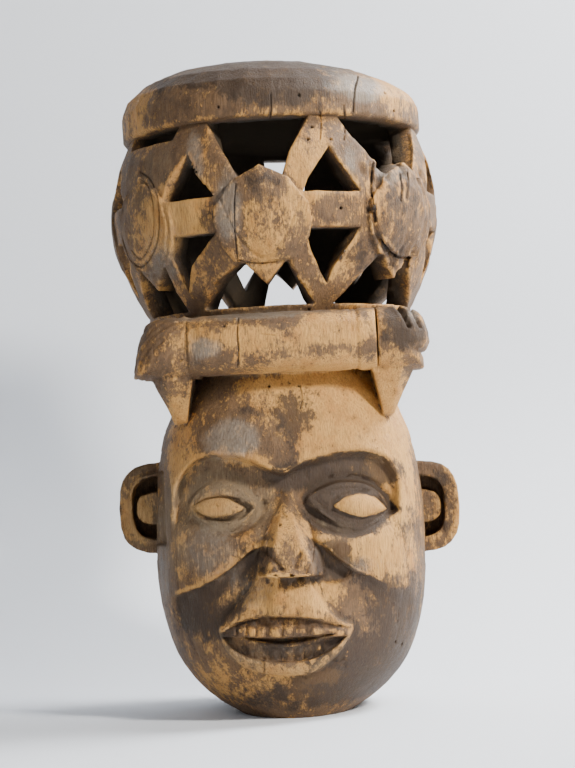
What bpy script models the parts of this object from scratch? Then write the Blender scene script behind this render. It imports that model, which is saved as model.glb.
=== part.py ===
"""Helmet mask carved from one block of wood, standing on its lower rim.

From the ground up: a hollow head with a face and two ears, a bar across the forehead that is the
body of a two-headed animal, an openwork crown of seven turtles joined by struts, and a domed cap.
Metres, +Z up, the face looks along -Y, the origin is under the middle of the mask.
"""

import math

import bmesh
import bpy
from mathutils import Matrix, Vector

# Head: half sizes at its widest level, how far below that level it would close, and how far above
# its top
HEAD_HALF_WIDTH = 0.121
HEAD_FRONT = 0.137
HEAD_BACK = 0.127
HEAD_WIDEST_Z = 0.158
HEAD_TOP_Z = 0.322
SIDE_BELOW = 0.163
SIDE_CLOSES_ABOVE = 0.016
DEPTH_BELOW = 0.193
DEPTH_CLOSES_ABOVE = 0.038
SIDE_POWER_BELOW = 2.6
SIDE_POWER_ABOVE = 2.3
DEPTH_POWER_BELOW = 3.0
DEPTH_POWER_ABOVE = 2.5
FRONT_SQUARENESS = 2.6
BACK_SQUARENESS = 2.2
RIM_SQUARENESS = 2.0
RIM_HALF_WIDTH = 0.050
RIM_POWER = 7.0
HEAD_WALL = 0.020
RIM_WALL = 0.015
RIM_TOP_Z = 0.060
SKULL_THICKNESS = 0.045

# Arches of the lower rim over the shoulders
ARCH_RADIUS = 0.050
ARCH_Y = 0.033
ARCH_DROP = 0.008

# Face: places across the face are X, heights are Z, and the features slope down to the right
FACE_TILT = 0.036
TILT_FOOT_Z = 0.040
TILT_TOP_Z = 0.240
BROW_CENTRE_Z = 0.212
BROW_CREST_Z = 0.2275
BROW_CREST_X = 0.056
BROW_END_Z = 0.183
BROW_END_X = 0.101
BROW_FALL_POWER = 3.3
BROW_EDGE = 0.003
SOCKET_DEPTH = 0.016
SOCKET_FLOOR_Z = 0.150
EYE_X = 0.053
EYE_Z = 0.181
EYE_HALF_WIDTH = 0.034
EYE_HALF_HEIGHT = 0.0235
EYE_RISE = 0.009
LID_EDGE = 0.003
PUPIL_X = 0.059
PUPIL_HALF_WIDTH = 0.020
PUPIL_HALF_HEIGHT = 0.0090
LID_GROOVE = 0.005
NOSE_X = -0.002
NOSE_TOP_Z = 0.190
NOSE_TIP_Z = 0.133
NOSE_BASE_Z = 0.1245
NOSE_RISE_TOP = 0.006
NOSE_RISE_TIP = 0.026
NOSE_HALF_WIDTH_TOP = 0.003
NOSE_HALF_WIDTH_TIP = 0.013
NOSE_FLANK_TOP = 0.006
NOSE_FLANK_TIP = 0.018
NOSTRIL_X = 0.022
NOSTRIL_Z = 0.138
NOSTRIL_RADIUS = 0.012
NOSTRIL_RISE = 0.017
FOLD_INNER_X = 0.029
FOLD_INNER_Z = 0.150
FOLD_OUTER_X = 0.100
FOLD_OUTER_Z = 0.105
FOLD_POWER = 1.5
FOLD_DEPTH = 0.006
FOLD_EDGE = 0.008
FOLD_FADE_Z = 0.055
LIP_TOP_HALF_WIDTH = 0.024
LIP_FOOT_HALF_WIDTH = 0.058
LIP_RISE = 0.009
LIP_EDGE = 0.006
MOUTH_X = -0.006
MOUTH_Z = 0.0795
MOUTH_HALF_WIDTH = 0.056
MOUTH_UP = 0.011
MOUTH_DOWN = 0.037
MUZZLE_RISE = 0.010
MUZZLE_HALF_WIDTH = 0.080
MUZZLE_HALF_HEIGHT = 0.060
LOWER_LIP = 0.0175
LOWER_LIP_RISE = 0.005
LOWER_TEETH_DEPTH = 0.005
UPPER_TEETH_DEPTH = -0.002
SLIT_Z = 0.0710
SLIT_HALF_HEIGHT = 0.0022
SLIT_HALF_WIDTH = 0.040
SLIT_DEPTH = 0.010
ROW_GAP = 0.0014

# Ears
EAR_X = 0.113
EAR_ROOT = 0.030
EAR_Z = 0.1797
EAR_REACH = 0.040
EAR_HALF_HEIGHT = 0.041
EAR_BACK_Y = 0.019
EAR_FRONT_Y = -0.021
EAR_SQUARENESS = 3.0
EAR_RIM = 0.013
EAR_HOLLOW_DEPTH = 0.024
EAR_LOBE_REACH = 0.024
EAR_LOBE_HALF_HEIGHT = 0.015
EAR_LOBE_SET_BACK = 0.005
EAR_LOBE_BACK_STEP = 0.002

# Bar across the forehead, and the two animal heads at its ends
BAR_HALF_LENGTH = 0.080
BAR_Z = 0.321
BAR_HALF_HEIGHT = 0.026
BAR_HALF_DEPTH = 0.030
BAR_Y = -0.121
BAR_BEND = 0.010
BAR_SQUARENESS = 2.7
BEAST_GROOVE = 0.002
BEAST_OVERLAP = 0.010
BEAST_OUTER_X = 0.128
BEAST_TOP_Z = 0.348
BEAST_FOOT_Z = 0.293
BEAST_FRONT_Y = -0.137
BEAST_BACK_Y = -0.066
BEAST_SQUARENESS = 3.0
NECK_TIP_X = 0.090
NECK_TIP_Z = 0.257
NECK_TIP_HALF_WIDTH = 0.005
NECK_INNER_X = 0.077
NECK_OUTER_X = 0.112
NECK_TOP_Z = 0.316
NECK_FOOT_Z = 0.293
NECK_FRONT_Y = -0.124
NECK_BACK_Y = -0.050
NECK_TIP_FRONT_Y = -0.099

# Crown: a bulging openwork wall
CROWN_FOOT_Z = 0.347
CROWN_BULGE_Z = 0.450
CROWN_RADIUS = 0.147
CROWN_CURVE_BELOW = 0.170
CROWN_CURVE_ABOVE = 0.125
CROWN_WALL = 0.021
CROWN_FLOOR = 0.006
CROWN_FOOT_LIP = 0.004
CROWN_FOOT_EDGE = 0.006
WAIST_ROOT_Z = 0.276
WAIST_ROOT_RADIUS = 0.060
WAIST_Z = 0.300
WAIST_RADIUS = 0.088
FLARE_Z = 0.326
FLARE_RADIUS = 0.100
CROWN_SIDES = 42
CROWN_INNER_SIDES = 28

# Turtles and the struts between them
TURTLES = 7
BACK_TURTLES = (2, 3, 4, 5)
TURTLE_TURNS = (-4.5, 49.0, 108.0, 174.0, 218.0, 261.0, 306.2)
NODE_TURNS = (20.3, 78.5, 141.0, 196.0, 239.5, 284.0, 328.9)
FOOT_LEANS = (-1.5, 0.0, 0.0, 0.0, 0.0, 0.0, -6.5)
BACK_LIFT = 0.018
TURTLE_HALF_WIDTH = 0.042
TURTLE_TAPER = 0.0025
TURTLE_SHOULDER = 0.024
TURTLE_HIP = 0.027
TURTLE_NOSE_Z = 0.471
TURTLE_SHOULDER_Z = 0.458
TURTLE_TOP_Z = 0.437
TURTLE_LOW_Z = 0.408
TURTLE_HIP_Z = 0.390
TURTLE_TAIL_Z = 0.371
TURTLE_RISE = 0.006
BACK_TURTLE_RISE = 0.002
FLAT_TURTLE = 6
FLAT_TURTLE_RISE = 0.0015
TURTLE_DOME = 0.002
TAIL_SHARE = 0.5
TAIL_SEAT = 0.006
BAND_TOP_Z = 0.446
BAND_FOOT_Z = 0.416
TRIANGLE_HALF_WIDTH = 0.0270
TRIANGLE_APEX_Z = 0.486
TRIANGLE_LOW_APEX_Z = 0.369
TOP_NODE_HALF_WIDTH = 0.015
FOOT_NODE_HALF_WIDTH = 0.011
UPPER_GAP_HALF_WIDTH = 0.019
UPPER_GAP_FOOT_Z = 0.461
SHALLOW_GAP_FOOT_Z = 0.502
BACK_GAP_HALF_WIDTH = 0.027
CLOSED_GAP = 4
LOWER_GAP_HALF_WIDTH = 0.022
LOWER_GAP_TOP_Z = 0.391

# Cap
CAP_FOOT_Z = 0.5145
CAP_RADIUS = 0.1355
CAP_CHAMFER = 0.0025
CAP_EDGE_HEIGHT = 0.022
CAP_TOP_Z = 0.582
CAP_TILT = 0.045
CAP_SQUARENESS = 1.92
CAP_SEAT = 0.005
CAP_SIDES = 36

# How far cuts run past the wood, how far shapes that meet run into each other, and the least gap
# between faces that would otherwise lie in one plane
OVERRUN = 0.010
OVERLAP = 0.002
HAIR = 0.0005

# Fineness of the facets
FACE_COLUMNS = 30
FACE_HALF_ANGLE = math.radians(55)
REAR_COLUMNS = 14
HOLLOW_SIDES = 22
SMOOTH_BELOW = math.radians(32)

WOOD_COLOUR = (0.21, 0.125, 0.065, 1.0)


def remove_everything():
    for item in list(bpy.data.objects):
        bpy.data.objects.remove(item)


def wood():
    material = bpy.data.materials.new("weathered_wood")
    material.use_nodes = True
    shader = material.node_tree.nodes["Principled BSDF"]
    shader.inputs["Base Color"].default_value = WOOD_COLOUR
    shader.inputs["Roughness"].default_value = 0.62
    shader.inputs["Metallic"].default_value = 0.0
    return material


def ramp(value, start, end):
    """Smooth step from 0 at start to 1 at end, whichever is larger."""
    share = min(1.0, max(0.0, (value - start) / (end - start)))
    return share * share * (3 - 2 * share)


def blend(share, first, last):
    return first + (last - first) * share


def rounded(offset, reach, power):
    """Half size, as a share, of a superellipse at this offset from its middle."""
    return max(0.0, 1 - abs(offset / reach) ** power) ** (1 / power)


def keep_object(name, shape, helper):
    """Turns a bmesh into an object. A helper shape is only used by Booleans."""
    bmesh.ops.recalc_face_normals(shape, faces=shape.faces)
    mesh = bpy.data.meshes.new(name)
    shape.to_mesh(mesh)
    shape.free()
    mesh.shade_smooth()
    mesh.set_sharp_from_angle(angle=SMOOTH_BELOW)
    item = bpy.data.objects.new(name, mesh)
    bpy.context.scene.collection.objects.link(item)
    if helper:
        item.hide_render = True
        item.display_type = "WIRE"
    return item


def loft(shape, rings):
    """Skins closed rings of points, each with the same count, and caps both ends."""
    rows = [[shape.verts.new(point) for point in ring] for ring in rings]
    count = len(rows[0])
    for lower, upper in zip(rows, rows[1:]):
        for i in range(count):
            j = (i + 1) % count
            shape.faces.new((lower[i], lower[j], upper[j], upper[i]))
    shape.faces.new(rows[0])
    shape.faces.new(rows[-1])


def turned(shape, outline, sides, turn=0.0):
    """A round solid from (radius, height) pairs, bottom to top."""
    angles = [turn + 2 * math.pi * i / sides for i in range(sides)]
    rings = []
    for radius, height in outline:
        ring = [Vector((radius * math.sin(a), -radius * math.cos(a), height)) for a in angles]
        rings.append(ring)
    loft(shape, rings)


def extend(target, other, operation):
    step = target.modifiers.new(operation.lower() + "_" + other.name, "BOOLEAN")
    step.operation = operation
    step.solver = "EXACT"
    step.object = other


# Head

def head_half_width(z):
    if z > HEAD_WIDEST_Z:
        reach = HEAD_TOP_Z - HEAD_WIDEST_Z + SIDE_CLOSES_ABOVE
        return HEAD_HALF_WIDTH * rounded(z - HEAD_WIDEST_Z, reach, SIDE_POWER_ABOVE)
    width = HEAD_HALF_WIDTH * rounded(z - HEAD_WIDEST_Z, SIDE_BELOW, SIDE_POWER_BELOW)
    return (width**RIM_POWER + RIM_HALF_WIDTH**RIM_POWER) ** (1 / RIM_POWER)


def head_depth(z, middle):
    if z < HEAD_WIDEST_Z:
        return middle * rounded(z - HEAD_WIDEST_Z, DEPTH_BELOW, DEPTH_POWER_BELOW)
    reach = HEAD_TOP_Z - HEAD_WIDEST_Z + DEPTH_CLOSES_ABOVE
    return middle * rounded(z - HEAD_WIDEST_Z, reach, DEPTH_POWER_ABOVE)


def head_radius(angle, z, wall=0.0):
    """Distance from the mask's axis to the plain head, less a wall."""
    across = abs(math.sin(angle))
    along = abs(math.cos(angle))
    in_front = math.cos(angle) > 0
    full = FRONT_SQUARENESS if in_front else BACK_SQUARENESS
    power = blend(ramp(z, 0.0, RIM_TOP_Z), RIM_SQUARENESS, full)
    depth = head_depth(z, HEAD_FRONT if in_front else HEAD_BACK) - wall
    width = head_half_width(z) - wall
    return ((across / width) ** power + (along / depth) ** power) ** (-1 / power)


def brow_height(x):
    side = abs(x)
    if side < BROW_CREST_X:
        lift = math.sin(side / BROW_CREST_X * math.pi / 2)
        return blend(lift, BROW_CENTRE_Z, BROW_CREST_Z)
    fall = min(1.0, (side - BROW_CREST_X) / (BROW_END_X - BROW_CREST_X))
    return blend(fall**BROW_FALL_POWER, BROW_CREST_Z, BROW_END_Z)


def arch(across, half_width):
    """1 in the middle of a lid or lip, 0 at its corners and beyond."""
    return max(0.0, 1 - (across / half_width) ** 2)


def mouth_lines(x):
    """Heights of the lower lip's foot and top, the slit's two edges, and the teeth's and lip's top."""
    swell = arch(x - MOUTH_X, MOUTH_HALF_WIDTH)
    foot = MOUTH_Z - 4 * ROW_GAP - MOUTH_DOWN * swell**0.7
    lip = foot + ROW_GAP + (LOWER_LIP - ROW_GAP) * min(1.0, 1.5 * swell)
    sink = min(1.0, 3 * swell)
    low = blend(sink, MOUTH_Z - 2 * ROW_GAP, SLIT_Z - SLIT_HALF_HEIGHT)
    high = blend(sink, MOUTH_Z - ROW_GAP, SLIT_Z + SLIT_HALF_HEIGHT)
    teeth = MOUTH_Z + MOUTH_UP * swell
    return foot, lip, low, high, teeth, teeth + ROW_GAP + 2 * ROW_GAP * swell


def eye_lines(x):
    """Heights, from the middle of the eye, of the edge of its ball and of its pupil."""
    ball = arch(abs(x) - EYE_X, EYE_HALF_WIDTH) ** 0.6
    pupil = arch(abs(x) - PUPIL_X, PUPIL_HALF_WIDTH) ** 0.6
    return 3 * ROW_GAP + (EYE_HALF_HEIGHT - 3 * ROW_GAP) * ball, ROW_GAP + PUPIL_HALF_HEIGHT * pupil


def sockets(x, z):
    """Hollow under the brow that runs out over the cheek."""
    brow = brow_height(x)
    under = ramp(z, brow, brow - BROW_EDGE)
    above_cheek = ramp(z, SOCKET_FLOOR_Z, EYE_Z + EYE_HALF_HEIGHT / 2)
    inside = ramp(abs(x), BROW_END_X + LIP_EDGE, BROW_END_X - LIP_EDGE)
    return -SOCKET_DEPTH * under * above_cheek * inside


def eyes(x, z):
    up = abs(z - EYE_Z)
    ball, pupil = eye_lines(x)
    shown = ramp(arch(abs(x) - EYE_X, EYE_HALF_WIDTH), 0.0, 0.35)
    lid = ramp(up, ball + LID_EDGE, ball)
    inner = ramp(arch(abs(x) - PUPIL_X, PUPIL_HALF_WIDTH), 0.0, 0.25)
    dish = ramp(up, ball, ball - LID_EDGE) * ramp(up, pupil - ROW_GAP, pupil + ROW_GAP * inner)
    return EYE_RISE * shown * lid - LID_GROOVE * shown * dish


def nose(x, z):
    side = abs(x - NOSE_X)
    down = min(1.0, (NOSE_TOP_Z - z) / (NOSE_TOP_Z - NOSE_TIP_Z))
    if down <= 0:
        return 0.0
    under = ramp(z, NOSE_BASE_Z, NOSE_BASE_Z + 2 * ROW_GAP)
    rise = blend(down, NOSE_RISE_TOP, NOSE_RISE_TIP) * ramp(down, 0.0, 0.2)
    half_width = blend(down, NOSE_HALF_WIDTH_TOP, NOSE_HALF_WIDTH_TIP)
    flank = blend(down, NOSE_FLANK_TOP, NOSE_FLANK_TIP)
    ridge = rise * ramp(side, half_width + flank, half_width)
    wing = math.hypot(side - NOSTRIL_X, z - NOSTRIL_Z) / NOSTRIL_RADIUS
    return under * max(ridge, NOSTRIL_RISE * ramp(wing, 1.4, 0.6))


def cheek_folds(x, z):
    """Below the fold the cheek steps back, and comes forward again towards the chin."""
    side = abs(x)
    run = min(1.0, max(0.0, (side - FOLD_INNER_X) / (FOLD_OUTER_X - FOLD_INNER_X)))
    fold = blend(1 - (1 - run) ** FOLD_POWER, FOLD_INNER_Z, FOLD_OUTER_Z)
    below = ramp(z, fold, fold - FOLD_EDGE)
    inside = ramp(side, FOLD_OUTER_X + FOLD_EDGE, FOLD_OUTER_X - FOLD_EDGE / 2)
    return -FOLD_DEPTH * below * ramp(z, FOLD_FADE_Z, FOLD_OUTER_Z) * inside


def upper_lip(x, z):
    """Tent-shaped lip from the nose down to the corners of the mouth."""
    down = min(1.0, max(0.0, (NOSE_BASE_Z - z) / (NOSE_BASE_Z - MOUTH_Z)))
    half_width = blend(down, LIP_TOP_HALF_WIDTH, LIP_FOOT_HALF_WIDTH)
    middle = blend(down, NOSE_X, MOUTH_X)
    above = ramp(z, NOSE_BASE_Z + 2 * LIP_EDGE, NOSE_BASE_Z)
    below = ramp(z, mouth_lines(x)[4], mouth_lines(x)[5])
    return LIP_RISE * above * below * ramp(abs(x - middle), half_width + LIP_EDGE, half_width - LIP_EDGE)


def mouth(x, z):
    across = x - MOUTH_X
    muzzle = math.hypot(across / MUZZLE_HALF_WIDTH, (z - MOUTH_Z) / MUZZLE_HALF_HEIGHT)
    rise = MUZZLE_RISE * ramp(muzzle, 1.0, 0.3)
    foot, lip, low, high, teeth, top = mouth_lines(x)
    swell = min(1.0, 3 * arch(across, MOUTH_HALF_WIDTH))
    rise += LOWER_LIP_RISE * swell * ramp(z, foot - ROW_GAP, foot) * ramp(z, lip + ROW_GAP, lip)
    depth = blend(ramp(z, low, high), LOWER_TEETH_DEPTH, UPPER_TEETH_DEPTH)
    rise -= depth * swell * ramp(z, lip, lip + ROW_GAP) * ramp(z, top, teeth)
    slit = ramp(z, low - ROW_GAP, low) * ramp(z, high + ROW_GAP, high)
    return rise - SLIT_DEPTH * slit * ramp(abs(across), MOUTH_HALF_WIDTH, SLIT_HALF_WIDTH)


def face_relief(x, z):
    level = z + FACE_TILT * x
    carved = sockets(x, level) + eyes(x, level) + nose(x, level) + cheek_folds(x, level)
    return carved + upper_lip(x, level) + mouth(x, level)


def column_angles():
    """Close together across the face, wider apart round the back."""
    step = 2 * FACE_HALF_ANGLE / FACE_COLUMNS
    face = [-FACE_HALF_ANGLE + step * i for i in range(FACE_COLUMNS + 1)]
    rest = 2 * math.pi - 2 * FACE_HALF_ANGLE
    rear = [FACE_HALF_ANGLE + rest * i / REAR_COLUMNS for i in range(1, REAR_COLUMNS)]
    return face + rear


def face_rows(x):
    """Heights of the rows of facets at this place across the face, so that they follow its lines."""
    foot, lip, low, high, teeth, top = mouth_lines(x)
    ball, pupil = eye_lines(x)
    brow = brow_height(x)
    base = NOSE_BASE_Z
    rows = [0.0, 0.10 * foot, 0.35 * foot, 0.7 * foot, foot - ROW_GAP, foot, lip, lip + ROW_GAP]
    rows += [low - ROW_GAP, low, high, high + ROW_GAP, teeth, top]
    rows += [blend(0.4, top, base), blend(0.8, top, base), base, base + 2 * ROW_GAP, NOSTRIL_Z]
    rows += [SOCKET_FLOOR_Z, EYE_Z - ball - LID_EDGE, EYE_Z - ball, EYE_Z - blend(0.5, pupil, ball)]
    rows += [EYE_Z - pupil, EYE_Z, EYE_Z + pupil, EYE_Z + blend(0.5, pupil, ball), EYE_Z + ball]
    rows += [EYE_Z + ball + LID_EDGE, blend(0.6, EYE_Z + ball + LID_EDGE, brow)]
    rows += [brow - BROW_EDGE, brow]
    rows += [blend(share, brow, HEAD_TOP_Z) for share in (0.15, 0.36, 0.60, 0.82, 1.0)]
    for i in range(1, len(rows)):
        rows[i] = max(rows[i], rows[i - 1] + 0.4 * ROW_GAP)
    return rows


def head():
    shape = bmesh.new()
    columns = []
    count = len(face_rows(0.0))
    for angle in column_angles():
        x = head_radius(angle, EYE_Z) * math.sin(angle)
        side = ramp(math.cos(angle), math.cos(FACE_HALF_ANGLE), -0.2)
        column = []
        for j, height in enumerate(face_rows(x)):
            z = blend(side, height, HEAD_TOP_Z * j / (count - 1))
            tilted = ramp(z, 0.0, TILT_FOOT_Z) * ramp(z, HEAD_TOP_Z, TILT_TOP_Z)
            z -= FACE_TILT * x * (1 - side) * tilted
            radius = head_radius(angle, z)
            point = Vector((radius * math.sin(angle), -radius * math.cos(angle), z))
            if math.cos(angle) > 0.3:
                point.y -= face_relief(point.x, z) * ramp(math.cos(angle), 0.3, 0.5)
            column.append(point)
        columns.append(column)
    loft(shape, [[column[j] for column in columns] for j in range(count)])
    return shape


def head_hollow():
    """Room for the wearer's head, open below."""
    shape = bmesh.new()
    top = HEAD_TOP_Z - SKULL_THICKNESS
    angles = [2 * math.pi * i / HOLLOW_SIDES for i in range(HOLLOW_SIDES)]
    rings = []
    for share in (0.0, 0.045, 0.10, 0.18, 0.29, 0.47, 0.65, 0.79, 0.90, 1.0):
        height = top * share
        wall = blend(min(1.0, height / RIM_TOP_Z), RIM_WALL, HEAD_WALL)
        ring = []
        for angle in angles:
            radius = head_radius(angle, height, wall)
            ring.append(Vector((radius * math.sin(angle), -radius * math.cos(angle), height)))
        rings.append(ring)
    below = [point - Vector((0, 0, OVERRUN)) for point in rings[0]]
    loft(shape, [below] + rings)
    return shape


def shoulder_arches():
    shape = bmesh.new()
    place = Matrix.Translation((0, ARCH_Y, -ARCH_DROP)) @ Matrix.Rotation(math.pi / 2, 4, "Y")
    bmesh.ops.create_cone(
        shape,
        cap_ends=True,
        segments=28,
        radius1=ARCH_RADIUS,
        radius2=ARCH_RADIUS,
        depth=4 * HEAD_HALF_WIDTH,
        matrix=place,
    )
    return shape


# Ears

def ear_outline(reach, half_height):
    """Points in X and Z of half a superellipse, flat where it meets the head."""
    points = []
    for i in range(13):
        angle = -math.pi / 2 + math.pi * i / 12
        across = max(0.0, math.cos(angle)) ** (2 / EAR_SQUARENESS)
        up = math.copysign(abs(math.sin(angle)) ** (2 / EAR_SQUARENESS), math.sin(angle))
        points.append((reach * across, half_height * up))
    return points


def ear_slab(shape, side, reach, half_height, front, back):
    outline = ear_outline(reach, half_height) + [(-EAR_ROOT, half_height), (-EAR_ROOT, -half_height)]
    middle = EAR_Z - side * FACE_TILT * (EAR_X + EAR_REACH / 2)
    rings = []
    for y in (front, back):
        rings.append([Vector((side * (EAR_X + x), y, middle + z)) for x, z in outline])
    loft(shape, rings)


def ear(side):
    shape = bmesh.new()
    ear_slab(shape, side, EAR_REACH, EAR_HALF_HEIGHT, EAR_FRONT_Y, EAR_BACK_Y)
    return shape


def ear_hollow(side):
    shape = bmesh.new()
    reach = EAR_REACH - EAR_RIM
    half_height = EAR_HALF_HEIGHT - EAR_RIM
    front = EAR_FRONT_Y - OVERRUN
    ear_slab(shape, side, reach, half_height, front, EAR_FRONT_Y + EAR_HOLLOW_DEPTH)
    return shape


def ear_lobe(side):
    shape = bmesh.new()
    front = EAR_FRONT_Y + EAR_LOBE_SET_BACK
    back = EAR_BACK_Y - EAR_LOBE_BACK_STEP
    ear_slab(shape, side, EAR_LOBE_REACH, EAR_LOBE_HALF_HEIGHT, front, back)
    return shape


# Bar and the animal heads

def bar():
    shape = bmesh.new()
    rings = []
    sections = 9
    for i in range(sections):
        share = -1 + 2 * i / (sections - 1)
        x = BAR_HALF_LENGTH * share
        middle = BAR_Y + BAR_BEND * share * share
        ring = []
        for j in range(14):
            turn = 2 * math.pi * j / 14
            along = math.copysign(abs(math.cos(turn)) ** (2 / BAR_SQUARENESS), math.cos(turn))
            up = math.copysign(abs(math.sin(turn)) ** (2 / BAR_SQUARENESS), math.sin(turn))
            ring.append(Vector((x, middle + BAR_HALF_DEPTH * along, BAR_Z + BAR_HALF_HEIGHT * up)))
        rings.append(ring)
    loft(shape, rings)
    return shape


def beast_outline(side):
    """Outline seen from the front: (outward, height) shares of the head's size."""
    if side > 0:
        return [(0.0, 1.0), (0.45, 1.0), (0.70, 0.96), (0.87, 0.82), (0.98, 0.58), (1.0, 0.42),
                (0.93, 0.30), (0.80, 0.27), (0.86, 0.16), (0.86, 0.02), (0.62, 0.0), (0.0, 0.0)]
    return [(0.0, 1.0), (0.45, 1.0), (0.70, 0.96), (0.80, 0.88), (0.88, 0.70), (0.95, 0.48),
            (0.98, 0.27), (1.0, 0.16), (1.0, 0.06), (0.86, 0.03), (0.62, 0.0), (0.0, 0.0)]


def beast_head(side):
    """Blunt animal head that looks out to the side, rounded to the front and the back."""
    shape = bmesh.new()
    inner = BAR_HALF_LENGTH + (BEAST_GROOVE if side > 0 else -BEAST_OVERLAP)
    width = BEAST_OUTER_X - inner
    height = BEAST_TOP_Z - BEAST_FOOT_Z
    middle = 0.5 * (BEAST_FRONT_Y + BEAST_BACK_Y)
    half_depth = 0.5 * (BEAST_BACK_Y - BEAST_FRONT_Y)
    rings = []
    for share in (-1.0, -0.93, -0.72, -0.4, 0.0, 0.4, 0.72, 0.93, 1.0):
        size = max(0.35, rounded(share, 1.0, BEAST_SQUARENESS))
        ring = []
        for out, up in beast_outline(side):
            x = inner + width * out * blend(0.35, size, 1.0)
            z = BEAST_FOOT_Z + height * (0.5 + (up - 0.5) * size)
            ring.append(Vector((side * x, middle + half_depth * share, z)))
        rings.append(ring)
    loft(shape, rings)
    return shape


def beast_neck(side):
    """Wedge that tapers from the animal's head down to the temple."""
    shape = bmesh.new()
    rings = []
    tip = (NECK_TIP_X - NECK_TIP_HALF_WIDTH, NECK_TIP_X + NECK_TIP_HALF_WIDTH, NECK_TIP_FRONT_Y, NECK_TIP_Z)
    foot = (NECK_INNER_X, NECK_OUTER_X, NECK_FRONT_Y, NECK_FOOT_Z)
    top = (NECK_INNER_X, NECK_OUTER_X, NECK_FRONT_Y, NECK_TOP_Z)
    for inner, outer, front, z in (tip, foot, top):
        chamfer = 0.3 * (outer - inner)
        ring = [(inner, front), (outer - chamfer, front), (outer, front + chamfer)]
        ring += [(outer, NECK_BACK_Y), (inner, NECK_BACK_Y)]
        rings.append([Vector((side * x, y, z)) for x, y in ring])
    loft(shape, rings)
    return shape


# Crown

def crown_radius(z):
    rise = z - CROWN_BULGE_Z
    curve = CROWN_CURVE_BELOW if rise < 0 else CROWN_CURVE_ABOVE
    return CROWN_RADIUS - rise * rise / (2 * curve)


def crown():
    """Waist over the skull and the crown's outer wall, up into the cap."""
    outline = [(WAIST_ROOT_RADIUS, WAIST_ROOT_Z), (WAIST_RADIUS, WAIST_Z), (FLARE_RADIUS, FLARE_Z)]
    outline.append((crown_radius(CROWN_FOOT_Z) - CROWN_FOOT_LIP, CROWN_FOOT_Z - CROWN_FOOT_EDGE))
    for i in range(8):
        z = blend(i / 7, CROWN_FOOT_Z + OVERLAP, CAP_FOOT_Z - OVERLAP)
        outline.append((crown_radius(z), z))
    outline.append((crown_radius(CAP_FOOT_Z) - CAP_SEAT, CAP_FOOT_Z + CAP_SEAT))
    shape = bmesh.new()
    turned(shape, outline, CROWN_SIDES, turtle_angle(0))
    return shape


def crown_hollow():
    shape = bmesh.new()
    outline = []
    for i in range(6):
        z = blend(i / 5, CROWN_FOOT_Z + CROWN_FLOOR, CAP_FOOT_Z + CAP_SEAT / 2)
        outline.append((crown_radius(z) - CROWN_WALL, z))
    turned(shape, outline, CROWN_INNER_SIDES, turtle_angle(0))
    return shape


def turtle_angle(index):
    return math.radians(TURTLE_TURNS[index])


def lift(angle):
    """How much higher the pattern sits at this angle than at the front."""
    return BACK_LIFT * (1 - math.cos(angle - turtle_angle(0))) / 2


def node_angle(index):
    """The struts between a turtle and the next one meet here."""
    return math.radians(NODE_TURNS[index])


def foot_angle(index):
    """Two of the crossings in front lean as they go down."""
    return math.radians(NODE_TURNS[index] + FOOT_LEANS[index])


def radial_prism(shape, outline, inner, outer):
    """A cut or a plate whose sides run to the crown's axis, from (angle, height) pairs."""
    rings = []
    for radius in (inner, outer):
        ring = [Vector((radius * math.sin(a), -radius * math.cos(a), z)) for a, z in outline]
        rings.append(ring)
    loft(shape, rings)


def crown_gaps():
    """Every opening of the openwork: over, under and between the turtles."""
    shape = bmesh.new()
    inner = WAIST_RADIUS
    outer = CROWN_RADIUS + 3 * OVERRUN
    radius = CROWN_RADIUS
    for i in range(TURTLES):
        middle = turtle_angle(i)
        before = node_angle(i - 1) - (2 * math.pi if i == 0 else 0.0)
        after = node_angle(i)
        foot_before = foot_angle(i - 1) - (2 * math.pi if i == 0 else 0.0)
        foot_after = foot_angle(i)
        top = CAP_FOOT_Z - HAIR
        first = before + TOP_NODE_HALF_WIDTH / radius
        last = after - TOP_NODE_HALF_WIDTH / radius
        if i in BACK_TURTLES:
            first = middle - BACK_GAP_HALF_WIDTH / radius
            last = middle + BACK_GAP_HALF_WIDTH / radius
        low = UPPER_GAP_FOOT_Z + lift(middle)
        low_half = UPPER_GAP_HALF_WIDTH / radius
        low_first, low_last = middle - low_half, middle + low_half
        if i == FLAT_TURTLE:
            share = (SHALLOW_GAP_FOOT_Z - low) / (top - low)
            low = SHALLOW_GAP_FOOT_Z
            low_first, low_last = blend(share, low_first, first), blend(share, low_last, last)
        upper = [(first, top), (last, top), (low_last, low), (low_first, low)]
        foot = CROWN_FOOT_Z + CROWN_FLOOR + HAIR
        lower = [
            (foot_before + FOOT_NODE_HALF_WIDTH / radius, foot),
            (foot_after - FOOT_NODE_HALF_WIDTH / radius, foot),
            (middle + LOWER_GAP_HALF_WIDTH / radius, LOWER_GAP_TOP_Z + lift(middle)),
            (middle - LOWER_GAP_HALF_WIDTH / radius, LOWER_GAP_TOP_Z + lift(middle)),
        ]
        if i != CLOSED_GAP:
            radial_prism(shape, upper, inner, outer)
        radial_prism(shape, lower, inner, outer)
        half = TRIANGLE_HALF_WIDTH / radius
        tips = ((BAND_TOP_Z, after, TRIANGLE_APEX_Z), (BAND_FOOT_Z, foot_after, TRIANGLE_LOW_APEX_Z))
        for band, tip, apex in tips:
            corners = [(after - half, band), (after + half, band), (tip, apex)]
            radial_prism(shape, [(angle, z + lift(after)) for angle, z in corners], inner, outer)
    return shape


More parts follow.
